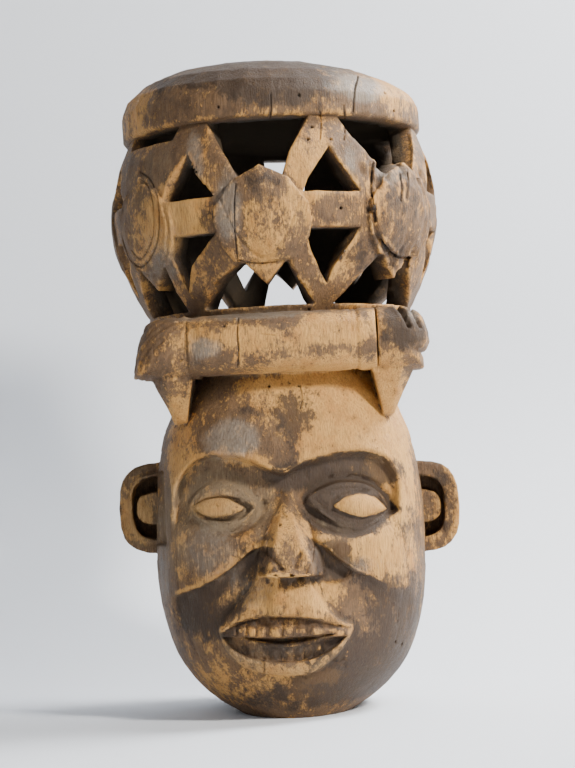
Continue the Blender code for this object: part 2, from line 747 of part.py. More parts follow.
def plate(shape, middle, outline, rise, dome):
    """A raised plate on the crown that follows its bulge, with its face drawn up to a low dome."""
    low = sum(z for x, z in outline) / len(outline)
    rings = []
    inside = OVERLAP - CROWN_WALL
    for share, depth in ((1.0, inside), (1.0, rise), (0.55, rise + dome), (0.15, rise + dome)):
        ring = []
        for x, z in outline:
            height = blend(share, low, z) + lift(middle)
            angle = middle + share * x / CROWN_RADIUS
            radius = crown_radius(height) + depth
            ring.append(Vector((radius * math.sin(angle), -radius * math.cos(angle), height)))
        rings.append(ring)
    loft(shape, rings)


def turtle_rise(index):
    """The two turtles in front stand out most, and the one on the left lies almost flat."""
    if index == FLAT_TURTLE:
        return FLAT_TURTLE_RISE
    return BACK_TURTLE_RISE if index in BACK_TURTLES else TURTLE_RISE


def turtles():
    """Raised shells with a pointed head."""
    shape = bmesh.new()
    half = [
        (TURTLE_SHOULDER, TURTLE_SHOULDER_Z),
        (TURTLE_HALF_WIDTH - TURTLE_TAPER, TURTLE_TOP_Z),
        (TURTLE_HALF_WIDTH, 0.5 * (TURTLE_TOP_Z + TURTLE_LOW_Z)),
        (TURTLE_HALF_WIDTH - TURTLE_TAPER, TURTLE_LOW_Z),
        (TURTLE_HIP, TURTLE_HIP_Z),
    ]
    outline = [(0.0, TURTLE_NOSE_Z)] + half + [(-x, z) for x, z in reversed(half)]
    for i in range(TURTLES):
        plate(shape, turtle_angle(i), outline, turtle_rise(i), TURTLE_DOME)
    return shape


def tails():
    shape = bmesh.new()
    top = TURTLE_HIP_Z + TAIL_SEAT
    half_width = TURTLE_HIP - OVERLAP
    outline = [(half_width, top), (0.0, TURTLE_TAIL_Z), (-half_width, top)]
    for i in range(TURTLES):
        plate(shape, turtle_angle(i), outline, TAIL_SHARE * turtle_rise(i), 0.0)
    return shape


# Cap

def cap():
    """Thick disc with a rounded, slightly tilted top."""
    edge = CAP_FOOT_Z + CAP_EDGE_HEIGHT
    outline = [(CAP_RADIUS - CAP_CHAMFER, CAP_FOOT_Z), (CAP_RADIUS, CAP_FOOT_Z + CAP_CHAMFER)]
    height = CAP_TOP_Z - edge
    for i in range(6):
        turn = math.pi / 2 * i / 6
        across = math.cos(turn) ** (2 / CAP_SQUARENESS)
        up = math.sin(turn) ** (2 / CAP_SQUARENESS)
        outline.append((CAP_RADIUS * across, edge + height * up))
    outline.append((0.09 * CAP_RADIUS, CAP_TOP_Z))
    shape = bmesh.new()
    turned(shape, outline, CAP_SIDES)
    level = CAP_FOOT_Z + CAP_EDGE_HEIGHT / 2
    for vert in shape.verts:
        share = (vert.co.z - level) / (CAP_TOP_Z - level)
        vert.co.z -= CAP_TILT * vert.co.x * min(1.0, max(0.0, 1.5 * share))
    return shape


def centre_on_origin(mask):
    """Moves every shape alike, so that the finished mask stands over the origin."""
    finished = mask.evaluated_get(bpy.context.evaluated_depsgraph_get())
    corners = [Vector(corner) for corner in finished.bound_box]
    across = [corner.x for corner in corners]
    along = [corner.y for corner in corners]
    middle = Vector((min(across) + max(across), min(along) + max(along), 0.0)) / 2
    for item in bpy.data.objects:
        item.location -= middle


def build():
    remove_everything()
    mask = keep_object("helmet_mask", head(), helper=False)
    mask.data.materials.append(wood())
    extend(mask, keep_object("crown_wall", crown(), helper=True), "UNION")
    extend(mask, keep_object("crown_cap", cap(), helper=True), "UNION")
    extend(mask, keep_object("crown_hollow", crown_hollow(), helper=True), "DIFFERENCE")
    extend(mask, keep_object("crown_gaps", crown_gaps(), helper=True), "DIFFERENCE")
    extend(mask, keep_object("turtle_shells", turtles(), helper=True), "UNION")
    extend(mask, keep_object("turtle_tails", tails(), helper=True), "UNION")
    extend(mask, keep_object("animal_body", bar(), helper=True), "UNION")
    for side, word in ((-1, "left"), (1, "right")):
        extend(mask, keep_object("beast_neck_" + word, beast_neck(side), helper=True), "UNION")
        extend(mask, keep_object("beast_head_" + word, beast_head(side), helper=True), "UNION")
        extend(mask, keep_object("ear_" + word, ear(side), helper=True), "UNION")
        extend(mask, keep_object("ear_hollow_" + word, ear_hollow(side), helper=True), "DIFFERENCE")
        extend(mask, keep_object("ear_lobe_" + word, ear_lobe(side), helper=True), "UNION")
    extend(mask, keep_object("head_hollow", head_hollow(), helper=True), "DIFFERENCE")
    extend(mask, keep_object("shoulder_arches", shoulder_arches(), helper=True), "DIFFERENCE")
    centre_on_origin(mask)


build()
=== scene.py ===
"""The helmet mask as it looks: one block of wood, carved, worn through its patina and dusty.

The carved piece starts as a fine skin over the part's own solid and keeps its form. Knife work,
teeth, lids, cracks and worm holes are then cut into that skin, region by region.
Metres, +Z up, the face looks along -Y, the viewer's right is +X.
"""

import math
from contextlib import contextmanager

import bmesh
import bpy
import numpy as np
from mathutils import Matrix, Vector
from mathutils.bvhtree import BVHTree
from mathutils.kdtree import KDTree


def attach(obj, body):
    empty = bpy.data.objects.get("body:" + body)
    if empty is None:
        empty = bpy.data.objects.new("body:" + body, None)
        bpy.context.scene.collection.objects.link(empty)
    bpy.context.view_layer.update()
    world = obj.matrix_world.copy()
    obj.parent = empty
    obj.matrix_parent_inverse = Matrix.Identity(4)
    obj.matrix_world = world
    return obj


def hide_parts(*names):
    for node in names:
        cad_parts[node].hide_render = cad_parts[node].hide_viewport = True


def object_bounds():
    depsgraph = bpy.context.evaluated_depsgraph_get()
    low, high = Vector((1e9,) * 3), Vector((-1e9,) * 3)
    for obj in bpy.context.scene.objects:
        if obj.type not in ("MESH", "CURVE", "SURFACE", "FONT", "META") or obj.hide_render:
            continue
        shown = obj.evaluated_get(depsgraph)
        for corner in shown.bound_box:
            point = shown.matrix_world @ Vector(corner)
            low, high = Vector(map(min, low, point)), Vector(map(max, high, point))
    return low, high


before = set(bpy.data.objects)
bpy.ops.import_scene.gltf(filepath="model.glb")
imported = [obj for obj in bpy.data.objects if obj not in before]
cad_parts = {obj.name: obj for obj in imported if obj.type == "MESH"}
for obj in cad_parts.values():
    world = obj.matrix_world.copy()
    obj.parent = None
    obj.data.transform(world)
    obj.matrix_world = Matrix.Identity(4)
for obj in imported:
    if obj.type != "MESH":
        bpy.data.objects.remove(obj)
cad_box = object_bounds()

# The skin and its fineness
SKIN_FINENESS = 9
MOST_TRIANGLES = 150000

# Where the solid's parts are, in metres
FACE_TILT = 0.036
HEAD_TOP_Z = 0.322
HEAD_WIDEST_Z = 0.158
HEAD_HALF_WIDTH = 0.121
HEAD_FRONT = 0.137
RIM_HALF_WIDTH = 0.050
CROWN_FOOT_Z = 0.350
CAP_FOOT_Z = 0.5145
CROWN_BULGE_Z = 0.450
CROWN_RADIUS = 0.147
CROWN_CURVE_BELOW = 0.170
CROWN_CURVE_ABOVE = 0.125
HEAD_BACK = 0.127
FRONT_TURTLE = math.radians(-4.5)
LEFT_TURTLE = math.radians(-53.8)
RIGHT_TURTLE = math.radians(49.0)
SHELL_Z = 0.4285
SHELL_HALF_WIDTH = 0.0395
SHELL_HALF_HEIGHT = 0.0420
TURTLE_SOFTENING = 26
EAR_Z = 0.1845
EAR_ROOT_X = 0.113
EAR_HOLLOW_X = 0.108
EAR_HOLLOW_Y = 0.0048
EAR_HOLLOW_REACH = 0.031
EAR_HOLLOW_HALF_HEIGHT = 0.032
EAR_FRONT_Y = -0.021
LEFT_EAR_DEPTH = 0.28
COLLAR_X = 0.0640
SMALL_COLLAR_X = 0.0600

# Blocks of the front: x from and to, z from and to, and the y they lie in front of
BAR = (-0.0815, 0.0815, 0.293, 0.350, -0.075)
LEFT_BEAST = (-1.0, -0.083, 0.286, 0.352, -0.030)
RIGHT_BEAST = (0.085, 1.0, 0.290, 0.352, -0.010)
LEFT_EAR = (-1.0, -0.112, 0.138, 0.230, 0.0)
LEFT_EAR_RIM = (-1.0, -0.117, 0.138, 0.228, 0.0)


def crown_axis(node, above):
    """The crown stands on the middle of its cap."""
    depths = [(node.matrix_world @ vert.co).y for vert in node.data.vertices if vert.co.z > above]
    return (min(depths) + max(depths)) / 2


CROWN_AXIS_Y = crown_axis(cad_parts["helmet_mask"], 0.540)

# Camera and room
CAMERA_DISTANCE = 1.940
CAMERA_Z = 0.195
LENS = 100.0
PHOTO_WIDTH = 575
PHOTO_HEIGHT = 768
HORIZON_ROW = 490.0
AXIS_COLUMN = 284.0
CAMERA_ROLL = math.radians(2.75)
ROLL_CENTRE = (285.0, 400.0)


# Soft steps, marks and noise over arrays of places

def ramp(value, start, end):
    share = np.clip((value - start) / (end - start), 0.0, 1.0)
    return share * share * (3 - 2 * share)


def ridge(distance, width):
    return np.exp(-((distance / width) ** 2))


def oval(x, z, centre, half_width, half_height):
    """Distance from an oval's edge, below 0 inside."""
    u = (x - centre[0]) / half_width
    v = (z - centre[1]) / half_height
    level = np.maximum(u * u + v * v, 0.02)
    slope = 2 * np.sqrt((u / half_width) ** 2 + (v / half_height) ** 2) + 1e-9
    return (level - 1) / slope


def line_distance(x, z, points):
    """Distance from a line drawn through a few points."""
    best = np.full(x.shape, 9.0)
    for (x0, z0), (x1, z1) in zip(points, points[1:]):
        length = (x1 - x0) ** 2 + (z1 - z0) ** 2
        share = np.clip(((x - x0) * (x1 - x0) + (z - z0) * (z1 - z0)) / length, 0.0, 1.0)
        best = np.minimum(best, np.hypot(x - x0 - share * (x1 - x0), z - z0 - share * (z1 - z0)))
    return best


def lattice(cells, seed):
    """A steady random number from 0 to 1 for each whole-number cell."""
    cells = cells.astype(np.int64)
    mixed = cells[..., 0] * 73856093 ^ cells[..., 1] * 19349663 ^ cells[..., 2] * 83492791
    mixed = mixed ^ seed * 2654435
    mixed = (mixed ^ (mixed >> 13)) * 1274126177
    return ((mixed ^ (mixed >> 16)) & 0xFFFF) / 65535.0


def noise(places, size, seed):
    """Smooth noise from -1 to 1. Size is one length or three."""
    scaled = places / np.asarray(size)
    cell = np.floor(scaled)
    part = scaled - cell
    part = part * part * (3 - 2 * part)
    total = np.zeros(len(places))
    for corner in np.ndindex(2, 2, 2):
        corner = np.array(corner)
        weight = np.prod(np.where(corner == 1, part, 1 - part), axis=1)
        total += weight * lattice(cell + corner, seed)
    return 2 * total - 1


def cells(places, size, seed):
    """Distance to the nearest of many scattered points, as a share of their spacing."""
    scaled = places / np.asarray(size)
    cell = np.floor(scaled)
    best = np.full(len(places), 9.0)
    for corner in np.ndindex(3, 3, 3):
        near = cell + np.array(corner) - 1
        point = near + np.stack([lattice(near, seed + k) for k in range(3)], axis=1)
        best = np.minimum(best, np.linalg.norm(scaled - point, axis=1))
    return best


# The skin as arrays

@contextmanager
def reshaping(mesh):
    """The mesh in a form that faces can be cut in, written back afterwards."""
    shape = bmesh.new()
    shape.from_mesh(mesh)
    yield shape
    shape.to_mesh(mesh)
    shape.free()


def rows_of(parts, name, width, kind):
    values = np.empty(len(parts) * width, kind)
    parts.foreach_get(name, values)
    return values.reshape(-1, width)


class Skin:
    """A mesh's points, normals and edges, with the moves that carving needs."""

    def __init__(self, mesh):
        self.mesh = mesh
        self.places = rows_of(mesh.vertices, "co", 3, float)
        self.edges = rows_of(mesh.edges, "vertices", 2, np.int64)
        self.normals = rows_of(mesh.vertices, "normal", 3, float)

    def write(self):
        self.mesh.vertices.foreach_set("co", self.places.ravel())
        self.mesh.update()
        self.normals = rows_of(self.mesh.vertices, "normal", 3, float)

    def mean_at_points(self, at_start, at_end):
        """Mean over the edges at each point, of a value given at either end of every edge."""
        count = len(self.places)
        a, b = self.edges.T
        total = np.bincount(a, at_start, count) + np.bincount(b, at_end, count)
        return total / np.maximum(np.bincount(a, minlength=count) + np.bincount(b, minlength=count), 1)

    def neighbour_mean(self, values):
        return self.mean_at_points(values[self.edges[:, 1]], values[self.edges[:, 0]])

    def spacing(self):
        """Mean length of the edges at each point."""
        a, b = self.edges.T
        length = np.linalg.norm(self.places[a] - self.places[b], axis=1)
        return self.mean_at_points(length, length)

    def smoothed(self, values, times):
        for _ in range(times):
            values = 0.4 * values + 0.6 * self.neighbour_mean(values)
        return values

    def smooth_places(self, share, where=1.0):
        for axis in range(3):
            mean = self.neighbour_mean(self.places[:, axis])
            self.places[:, axis] += share * where * (mean - self.places[:, axis])


def crown_radius(z):
    rise = z - CROWN_BULGE_Z
    curve = np.where(rise < 0, CROWN_CURVE_BELOW, CROWN_CURVE_ABOVE)
    return CROWN_RADIUS - rise * rise / (2 * curve)


class Regions:
    """How far each point of the skin belongs to each part of the mask."""

    def __init__(self, places, normals):
        self.x, self.y, self.z = places.T
        self.angle = np.arctan2(self.x, CROWN_AXIS_Y - self.y)
        self.radius = np.hypot(self.x, self.y - CROWN_AXIS_Y)
        out = normals[:, 0] * self.x + normals[:, 1] * (self.y - CROWN_AXIS_Y)
        self.outward = out / np.maximum(self.radius, 1e-6)
        head = (self.z < HEAD_TOP_Z).astype(float)
        crown = ((self.z > CROWN_FOOT_Z - 0.008) & (self.z < CAP_FOOT_Z + 0.003)).astype(float)
        hollow_width = 0.100 * np.sqrt(np.clip(1 - ((self.z - 0.150) / 0.150) ** 2, 0.16, 1.0))
        hollow_depth = 0.114 * np.sqrt(np.clip(1 - ((self.z - 0.150) / 0.190) ** 2, 0.16, 1.0))
        in_head = np.hypot(self.x / hollow_width, (self.y - CROWN_AXIS_Y) / hollow_depth)
        self.inside_head = head * (in_head < 1.03) * (self.z < 0.280) * (self.outward < 0.3)
        self.inside_crown = crown * ramp(crown_radius(self.z) - self.radius, 0.003, 0.015)
        self.crown = crown * (1 - self.inside_crown)
        self.face = head * (self.y < -0.030) * (np.abs(self.x) < 0.121) * (self.inside_head < 0.5)
        self.outer = np.clip(1 - self.inside_head - self.inside_crown, 0.0, 1.0)


def within(r, block):
    """1 inside a block, given as x from and to, z from and to, and the y it lies in front of."""
    left, right, foot, top, back = block
    return 1.0 * (r.x > left) * (r.x < right) * (r.z > foot) * (r.z < top) * (r.y < back)


# Lines of sight

def camera_frame():
    """The camera's place and the turn that puts the mask where the photograph has it."""
    focal = LENS / 36 * PHOTO_HEIGHT
    cosine, sine = math.cos(CAMERA_ROLL), math.sin(CAMERA_ROLL)
    dx = PHOTO_WIDTH / 2 - ROLL_CENTRE[0]
    dy = PHOTO_HEIGHT / 2 - ROLL_CENTRE[1]
    column = ROLL_CENTRE[0] + dx * cosine - dy * sine
    row = ROLL_CENTRE[1] + dx * sine + dy * cosine
    place = Vector((0.0, CROWN_AXIS_Y - CAMERA_DISTANCE, CAMERA_Z))
    aim = Vector(((column - AXIS_COLUMN) / focal, 1.0, -(row - HORIZON_ROW) / focal))
    turn = aim.to_track_quat("-Z", "Y").to_matrix() @ Matrix.Rotation(-CAMERA_ROLL, 3, "Z")
    return place, turn


def sight_line(column, row):
    """Start and direction of the line of sight through a place in the photograph."""
    place, turn = camera_frame()
    focal = LENS / 36 * PHOTO_HEIGHT
    across = (column - PHOTO_WIDTH / 2) / focal
    down = (row - PHOTO_HEIGHT / 2) / focal
    return place, (turn @ Vector((across, -down, -1.0))).normalized()


# Face. Its lines are given as places in the photograph and put on the front of the head

FACE_PLANE = 0.1096
BROWS = (
    (172, 508), (172.5, 497), (174, 487), (178.5, 477.5), (187.5, 465), (199, 457.3), (211, 454.3),
    (225, 456), (232, 455), (245, 458.5), (262, 465.5), (277, 471.5), (286, 471.5), (295, 466.5),
    (306, 459.5), (331, 451.5), (351, 448.3), (371, 450), (387, 456.5), (397, 470.5), (401.5, 484),
    (402, 497), (401.5, 512), (400, 540), (392, 570), (330, 600), (240, 600), (186, 584),
    (176, 566), (171, 540),
)
LEFT_FOLD = (
    (262, 545), (256, 547.5), (247.8, 552.5), (235.5, 563.5), (217, 576.7), (199, 586.3),
    (184, 592), (170, 597),
)
RIGHT_FOLD = (
    (306, 533), (314, 538), (328, 548), (337, 557), (351, 566.5), (362, 571.6), (378, 578),
    (398, 588),
)
LEFT_RING = (
    (188, 503), (195, 492), (207, 484), (222, 480.5), (238, 484), (251, 493), (258.5, 505),
    (252, 517), (241, 526), (228, 530.5), (213, 529.5), (199, 522), (190, 512),
)
LEFT_LID = (
    (193.5, 506.5), (203, 499), (215, 495.5), (228, 495.5), (242, 499), (253.4, 506.3), (249, 513),
    (241, 518.5), (228, 521.8), (214, 521), (203, 517),
)
LEFT_ALMOND = (
    (194.7, 507.3), (205, 500.5), (216, 498.2), (226, 498.7), (236.5, 503.3), (244.2, 508.2),
    (237.5, 513), (226, 515.8), (213, 516), (203, 513.5),
)
LEFT_CRESCENT = (
    (207, 529.5), (216, 532.3), (228, 533), (241, 530), (253, 523.5), (261, 514), (264.5, 503),
)
RIGHT_SOCKET = (
    (300, 500), (310, 489), (321, 480), (335, 475.5), (348, 475), (362, 477), (378, 485),
    (390, 496), (399.5, 510.5), (388, 519), (377, 530), (361.6, 537), (345.3, 539), (332, 536),
    (322, 531.5), (310.6, 524.5), (303, 513),
)
RIGHT_LID = (
    (306.5, 498), (320, 489), (335, 483.3), (351.4, 481.8), (366, 484), (378, 491), (386, 501),
    (389, 511), (380, 520.5), (368, 527), (357, 528.8), (345, 527.5), (330, 520), (317, 510),
)
RIGHT_ALMOND = (
    (334, 505.5), (345, 497.5), (357, 494.3), (369, 495.5), (378.5, 501), (385, 509), (374, 513.8),
    (362, 516.2), (350, 513.8), (341, 510),
)
RIGHT_OVER_LID = (
    (303, 500), (311, 490), (323, 481.5), (338, 478), (355, 478), (370, 482), (383, 491.5),
    (395, 508),
)
NOSE_LEFT_FOOT = (
    (284, 486), (279, 500), (272, 515), (266, 530), (262.5, 543), (258.5, 551), (257, 560),
    (257, 580),
)
NOSE_LEFT_TOP = (
    (285.5, 486), (283, 505), (279.5, 520), (276, 537), (272, 552), (268, 565), (266, 580),
)
NOSE_RIGHT_TOP = (
    (287.5, 486), (290, 505), (294, 520), (299, 537), (305, 550), (311, 562), (314, 580),
)
NOSE_RIGHT_FOOT = (
    (289, 486), (294, 503), (301, 517), (307, 530), (313, 541), (319, 549), (322.5, 557),
    (323.5, 580),
)
LEFT_WING = ((258, 552), (266, 547), (272, 551), (283, 566), (283, 579), (257, 579))
RIGHT_WING = (
    (306, 546), (314, 544.5), (322, 555), (323.5, 579), (295, 579), (296, 565), (300, 553),
)
NOSE_CUTS = (
    ((267.5, 551), (274, 558), (282, 567.5)), ((300, 552), (297, 559), (294.5, 565.5)),
    ((307.5, 544.5), (308.2, 548)),
)
WING_HOLLOW = ((318, 544), (328, 550), (338, 559), (352, 568), (345, 579), (330, 582), (322, 578))
UPPER_LIP = (
    (260.5, 572), (250, 590), (236, 606), (225, 617), (219, 625), (222, 632), (235, 624.2),
    (249.5, 618.2), (267.7, 615), (292, 615), (310.2, 617), (328.3, 620.6), (344, 624.5),
    (352, 624), (339, 617), (329, 607), (319, 592), (312, 580), (306, 572),
)
MOUTH = (
    (223, 632), (235, 625.2), (249.5, 619.2), (267.7, 616.2), (292, 616.2), (310, 618.2),
    (328, 621.8), (345, 626), (347, 632), (339, 641), (327, 650), (310, 657), (292, 659.5),
    (268, 659), (250, 656.5), (236, 649.5), (227, 640.5),
)
LOWER_LIP = (
    (219, 626), (221, 637), (227, 650), (237, 660.6), (249.5, 668), (263, 671.7), (286, 673.2),
    (304, 673), (322, 666.3), (340.5, 650), (350, 635), (353, 625), (344, 612), (286, 606),
    (230, 612),
)
SLIT = (
    (231, 633), (249.5, 635.2), (268, 636.2), (285.9, 635.6), (304, 632.6), (320, 631), (336, 631),
    (320, 634.8), (310.2, 637.2), (292, 640.2), (277.4, 640.6), (255.6, 638.4),
)
TEETH_LEDGE = ((236, 639), (250, 641.5), (268, 645), (292, 645.7), (316, 641.5), (330, 637))
UPPER_TEETH = (
    ((237, 622), (238, 633)), ((247.5, 618), (247, 635)), ((257.8, 616), (257, 636)),
    ((268.6, 615), (266.8, 637)), ((283.6, 615), (282.3, 637)), ((295, 615), (294, 637)),
    ((306.3, 616), (306, 635)), ((309.5, 617), (309, 634)),
)
LOWER_TEETH = (
    ((246, 642), (247.5, 655)), ((255, 644), (255.8, 658)), ((260.8, 645), (262, 659)),
    ((268, 645), (268.5, 659)), ((279.5, 646), (281, 660)), ((283, 646), (283, 660)),
    ((294.5, 646), (293, 660)), ((304, 645), (302, 659)), ((313, 643), (312, 656)),
    ((322, 641), (321, 652)),
)
HOOK_SCRATCH = ((246, 457), (246.3, 452.5), (248, 449), (251, 448.3))
SOCKET_DEPTH = 0.016
EYE_TOP = 0.200
EYE_FOOT = 0.158


def on_face(column, row):
    """Across and up, for a place in the photograph that shows the front of the face."""
    start, direction = sight_line(column, row)
    spot = start + direction * ((CROWN_AXIS_Y - FACE_PLANE - start.y) / direction.y)
    return spot.x, spot.z


def traced(pixels, closed=True):
    """A smooth line on the face through places in the photograph."""
    spots = [on_face(*pixel) for pixel in pixels]
    ends = spots[-1:] + spots + spots[:2] if closed else spots[:1] + spots + spots[-1:]
    line = []
    for quad in zip(ends, ends[1:], ends[2:], ends[3:]):
        for step in range(3):
            line.append(tuple(along_curve(*parts, step / 3) for parts in zip(*quad)))
    line.append(spots[0] if closed else spots[-1])
    return line


def along_curve(before, first, last, after, share):
    bend = 2 * before - 5 * first + 4 * last - after
    twist = 3 * first - before - 3 * last + after
    return 0.5 * (2 * first + (last - before) * share + bend * share**2 + twist * share**3)


def inside_distance(x, z, pixels):
    """Distance from a closed line, below 0 inside it."""
    line = traced(pixels)
    inside = np.zeros(x.shape, bool)
    for (x0, z0), (x1, z1) in zip(line, line[1:]):
        if z0 != z1:
            inside ^= ((z0 > z) != (z1 > z)) & (x < (x1 - x0) * (z - z0) / (z1 - z0) + x0)
    away = line_distance(x, z, line)
    return np.where(inside, -away, away)


def from_line(x, z, pixels):
    return line_distance(x, z, traced(pixels, closed=False))


def across_at(z, pixels):
    """Where a line that runs up the face lies at each height."""
    line = sorted(traced(pixels, closed=False), key=lambda spot: spot[1])
    return np.interp(z, [spot[1] for spot in line], [spot[0] for spot in line])


def height_at(x, pixels):
    line = sorted(traced(pixels, closed=False))
    return np.interp(x, [spot[0] for spot in line], [spot[1] for spot in line])


def rounded(offset, reach, power):
    return np.clip(1 - np.abs(offset / reach) ** power, 0.0, 1.0) ** (1 / power)


def head_sizes(z):
    """Half width of the head, and its depth as a share, at each height, as in the solid."""
    rise = z - HEAD_WIDEST_Z
    above = rise > 0
    reach = HEAD_TOP_Z - HEAD_WIDEST_Z
    wide = np.where(above, rounded(rise, reach + 0.016, 2.3), rounded(rise, 0.163, 2.6))
    wide = HEAD_HALF_WIDTH * wide
    wide = np.where(above, wide, (wide**7 + RIM_HALF_WIDTH**7) ** (1 / 7))
    deep = np.where(above, rounded(rise, reach + 0.038, 2.5), rounded(rise, 0.193, 3.0))
    return np.maximum(wide, 0.01), np.maximum(deep, 0.05)


def plain_front(x, z):
    """Depth of the front of the head as the solid has it before its features."""
    wide, deep = head_sizes(z)
    power = 2.0 + 0.6 * ramp(z, 0.0, 0.060)
    share = np.maximum(1 - (np.abs(x) / wide) ** power, 0.02) ** (1 / power)
    return CROWN_AXIS_Y - HEAD_FRONT * deep * share


def round_head(skin):
    """Takes the flats of the solid off the plain parts of the head."""
    r = Regions(skin.places, skin.normals)
    front = r.y < CROWN_AXIS_Y
    wide, deep = head_sizes(r.z)
    deep = deep * np.where(front, HEAD_FRONT, HEAD_BACK)
    power = 2.0 + np.where(front, 0.6, 0.2) * ramp(r.z, 0.0, 0.060)
    across = np.abs(r.x) / np.maximum(r.radius, 0.001)
    along = np.abs(r.y - CROWN_AXIS_Y) / np.maximum(r.radius, 0.001)
    goal = ((across / wide) ** power + (along / deep) ** power) ** (-1 / power)
    near_ear = (np.abs(r.x) > 0.100) * (np.abs(r.y - CROWN_AXIS_Y) < 0.050)
    near_ear = near_ear * (r.z > 0.125) * (r.z < 0.235)
    share = 1.0 * (r.z > 0.0015) * ramp(r.z, 0.262, 0.245) * (r.outward > 0.45) * (1 - near_ear)
    share *= ramp(np.abs(goal - r.radius), 0.004, 0.003) * (r.inside_head < 0.5)
    move = share * (goal - r.radius) / np.maximum(r.radius, 0.001)
    skin.places[:, 0] += move * r.x
    skin.places[:, 1] += move * (r.y - CROWN_AXIS_Y)
    skin.write()


def toward(relief, goal, share):
    return relief + (goal - relief) * share


def carve_sockets(x, z, level):
    edge = inside_distance(x, z, BROWS)
    softness = 0.0042 + 0.0050 * ramp(x, 0.000, 0.030)
    under = ramp(edge, 0.0004, -1.0 * softness)
    above_cheek = ramp(level, 0.150, 0.193)
    relief = -SOCKET_DEPTH * under * above_cheek
    relief -= 0.0016 * under * ramp(-x, 0.030, 0.090) * (1 - above_cheek) * ramp(level, 0.090, 0.110)
    relief += 0.0009 * ridge(edge - 0.0016, 0.0016) * ramp(level, 0.180, 0.205)
    return relief


def carve_left_eye(relief, x, z, level):
    ring = inside_distance(x, z, LEFT_RING)
    lid = inside_distance(x, z, LEFT_LID)
    almond_edge = inside_distance(x, z, LEFT_ALMOND)
    share = np.clip((EYE_TOP - level) / (EYE_TOP - EYE_FOOT), 0.0, 1.0)
    goal = -0.0082 + 0.0055 * share + 0.0016 * ramp(ring, -0.0052, -0.0066)
    relief = toward(relief, goal, ramp(ring, 0.0004, -0.0026))
    relief -= 0.0010 * ridge(ring + 0.0052, 0.0009)
    crescent = from_line(x, z, LEFT_CRESCENT)
    width = 0.0012 + 0.0020 * ramp(x, -0.066, -0.040)
    relief -= (0.0016 + 0.0046 * ramp(x, -0.066, -0.042)) * ridge(crescent, width)
    relief -= 0.0050 * ramp(lid, 0.0003, -0.0013)
    relief -= 0.0030 * ramp(lid, 0.0, -0.0012) * ramp(almond_edge, 0.0010, 0.0026)
    relief += 0.0060 * ramp(almond_edge, 0.0008, -0.0008) + 0.0012 * ramp(almond_edge, -0.001, -0.006)
    return relief


def carve_right_eye(relief, x, z, level):
    socket = inside_distance(x, z, RIGHT_SOCKET)
    lid = inside_distance(x, z, RIGHT_LID)
    almond_edge = inside_distance(x, z, RIGHT_ALMOND)
    share = np.clip((EYE_TOP - level) / (EYE_TOP - EYE_FOOT), 0.0, 1.0)
    below = ramp(level, 0.186, 0.176)
    relief -= below * 0.0070 * ramp(socket, 0.0004, -0.0065)
    relief -= 0.0050 * ridge(from_line(x, z, RIGHT_OVER_LID), 0.0030)
    goal = -0.0112 + 0.0036 * share
    relief = toward(relief, goal, ramp(lid, 0.0006, -0.0010))
    relief += 0.0012 * ridge(lid, 0.0010)
    relief -= 0.0022 * ridge(lid + 0.0042, 0.0022) + 0.0008 * ridge(lid + 0.0080, 0.0010)
    relief -= 0.0008 * below * ridge(socket + 0.0030, 0.0008)
    relief -= 0.0016 * ridge(almond_edge - 0.0014, 0.0012)
    relief += 0.0044 * ramp(almond_edge, 0.0006, -0.0008) + 0.0012 * ramp(almond_edge, -0.001, -0.007)
    return relief


def carve_folds(relief, x, z, level):
    """Below each fold the cheek steps back, and comes forward again towards the chin."""
    sides = ((LEFT_FOLD, x < 0, 0.0078, 0.0026), (RIGHT_FOLD, x >= 0, 0.0062, 0.0030))
    for fold, side, deep, crisp in sides:
        line = height_at(x, fold)
        loose = 0.012 * ramp(x, 0.052, 0.085)
        below = ramp(z, line + 0.0004, line - crisp - loose)
        near_nose = ramp(np.abs(x), 0.014, 0.026)
        inside = ramp(np.abs(x), 0.106, 0.096)
        outer = 1 - 0.5 * ramp(x, 0.050, 0.090)
        relief = relief - side * deep * outer * below * ramp(level, 0.052, 0.108) * near_nose * inside
        relief = relief + side * 0.0008 * ridge(z - line - 0.0014, 0.0014) * near_nose * inside
    hollow = inside_distance(x, z, WING_HOLLOW)
    return relief - 0.0048 * ramp(hollow, 0.0016, -0.0030)


def carve_nose(relief, x, z, level):
    """A broad pyramid with a flat ridge, whose wings are set off by two slanting cuts."""
    left_foot, left_top = across_at(z, NOSE_LEFT_FOOT), across_at(z, NOSE_LEFT_TOP)
    right_top, right_foot = across_at(z, NOSE_RIGHT_TOP), across_at(z, NOSE_RIGHT_FOOT)
    left = np.clip((x - left_foot) / (left_top - left_foot), 0.0, 1.0)
    right = np.clip((right_foot - x) / (right_foot - right_top), 0.0, 1.0)
    down = np.clip((0.190 - level) / 0.057, 0.0, 1.1)
    rise = (0.006 + 0.018 * down) * ramp(level, 0.197, 0.189) * ramp(level, 0.1215, 0.1240)
    profile = np.minimum(left, right) ** 0.8
    for wing in (LEFT_WING, RIGHT_WING):
        profile = np.maximum(profile, 0.70 * ramp(inside_distance(x, z, wing), 0.0006, -0.0030))
    relief = relief + rise * profile
    for cut in NOSE_CUTS:
        relief = relief - 0.0030 * ridge(from_line(x, z, cut), 0.0015)
    return relief


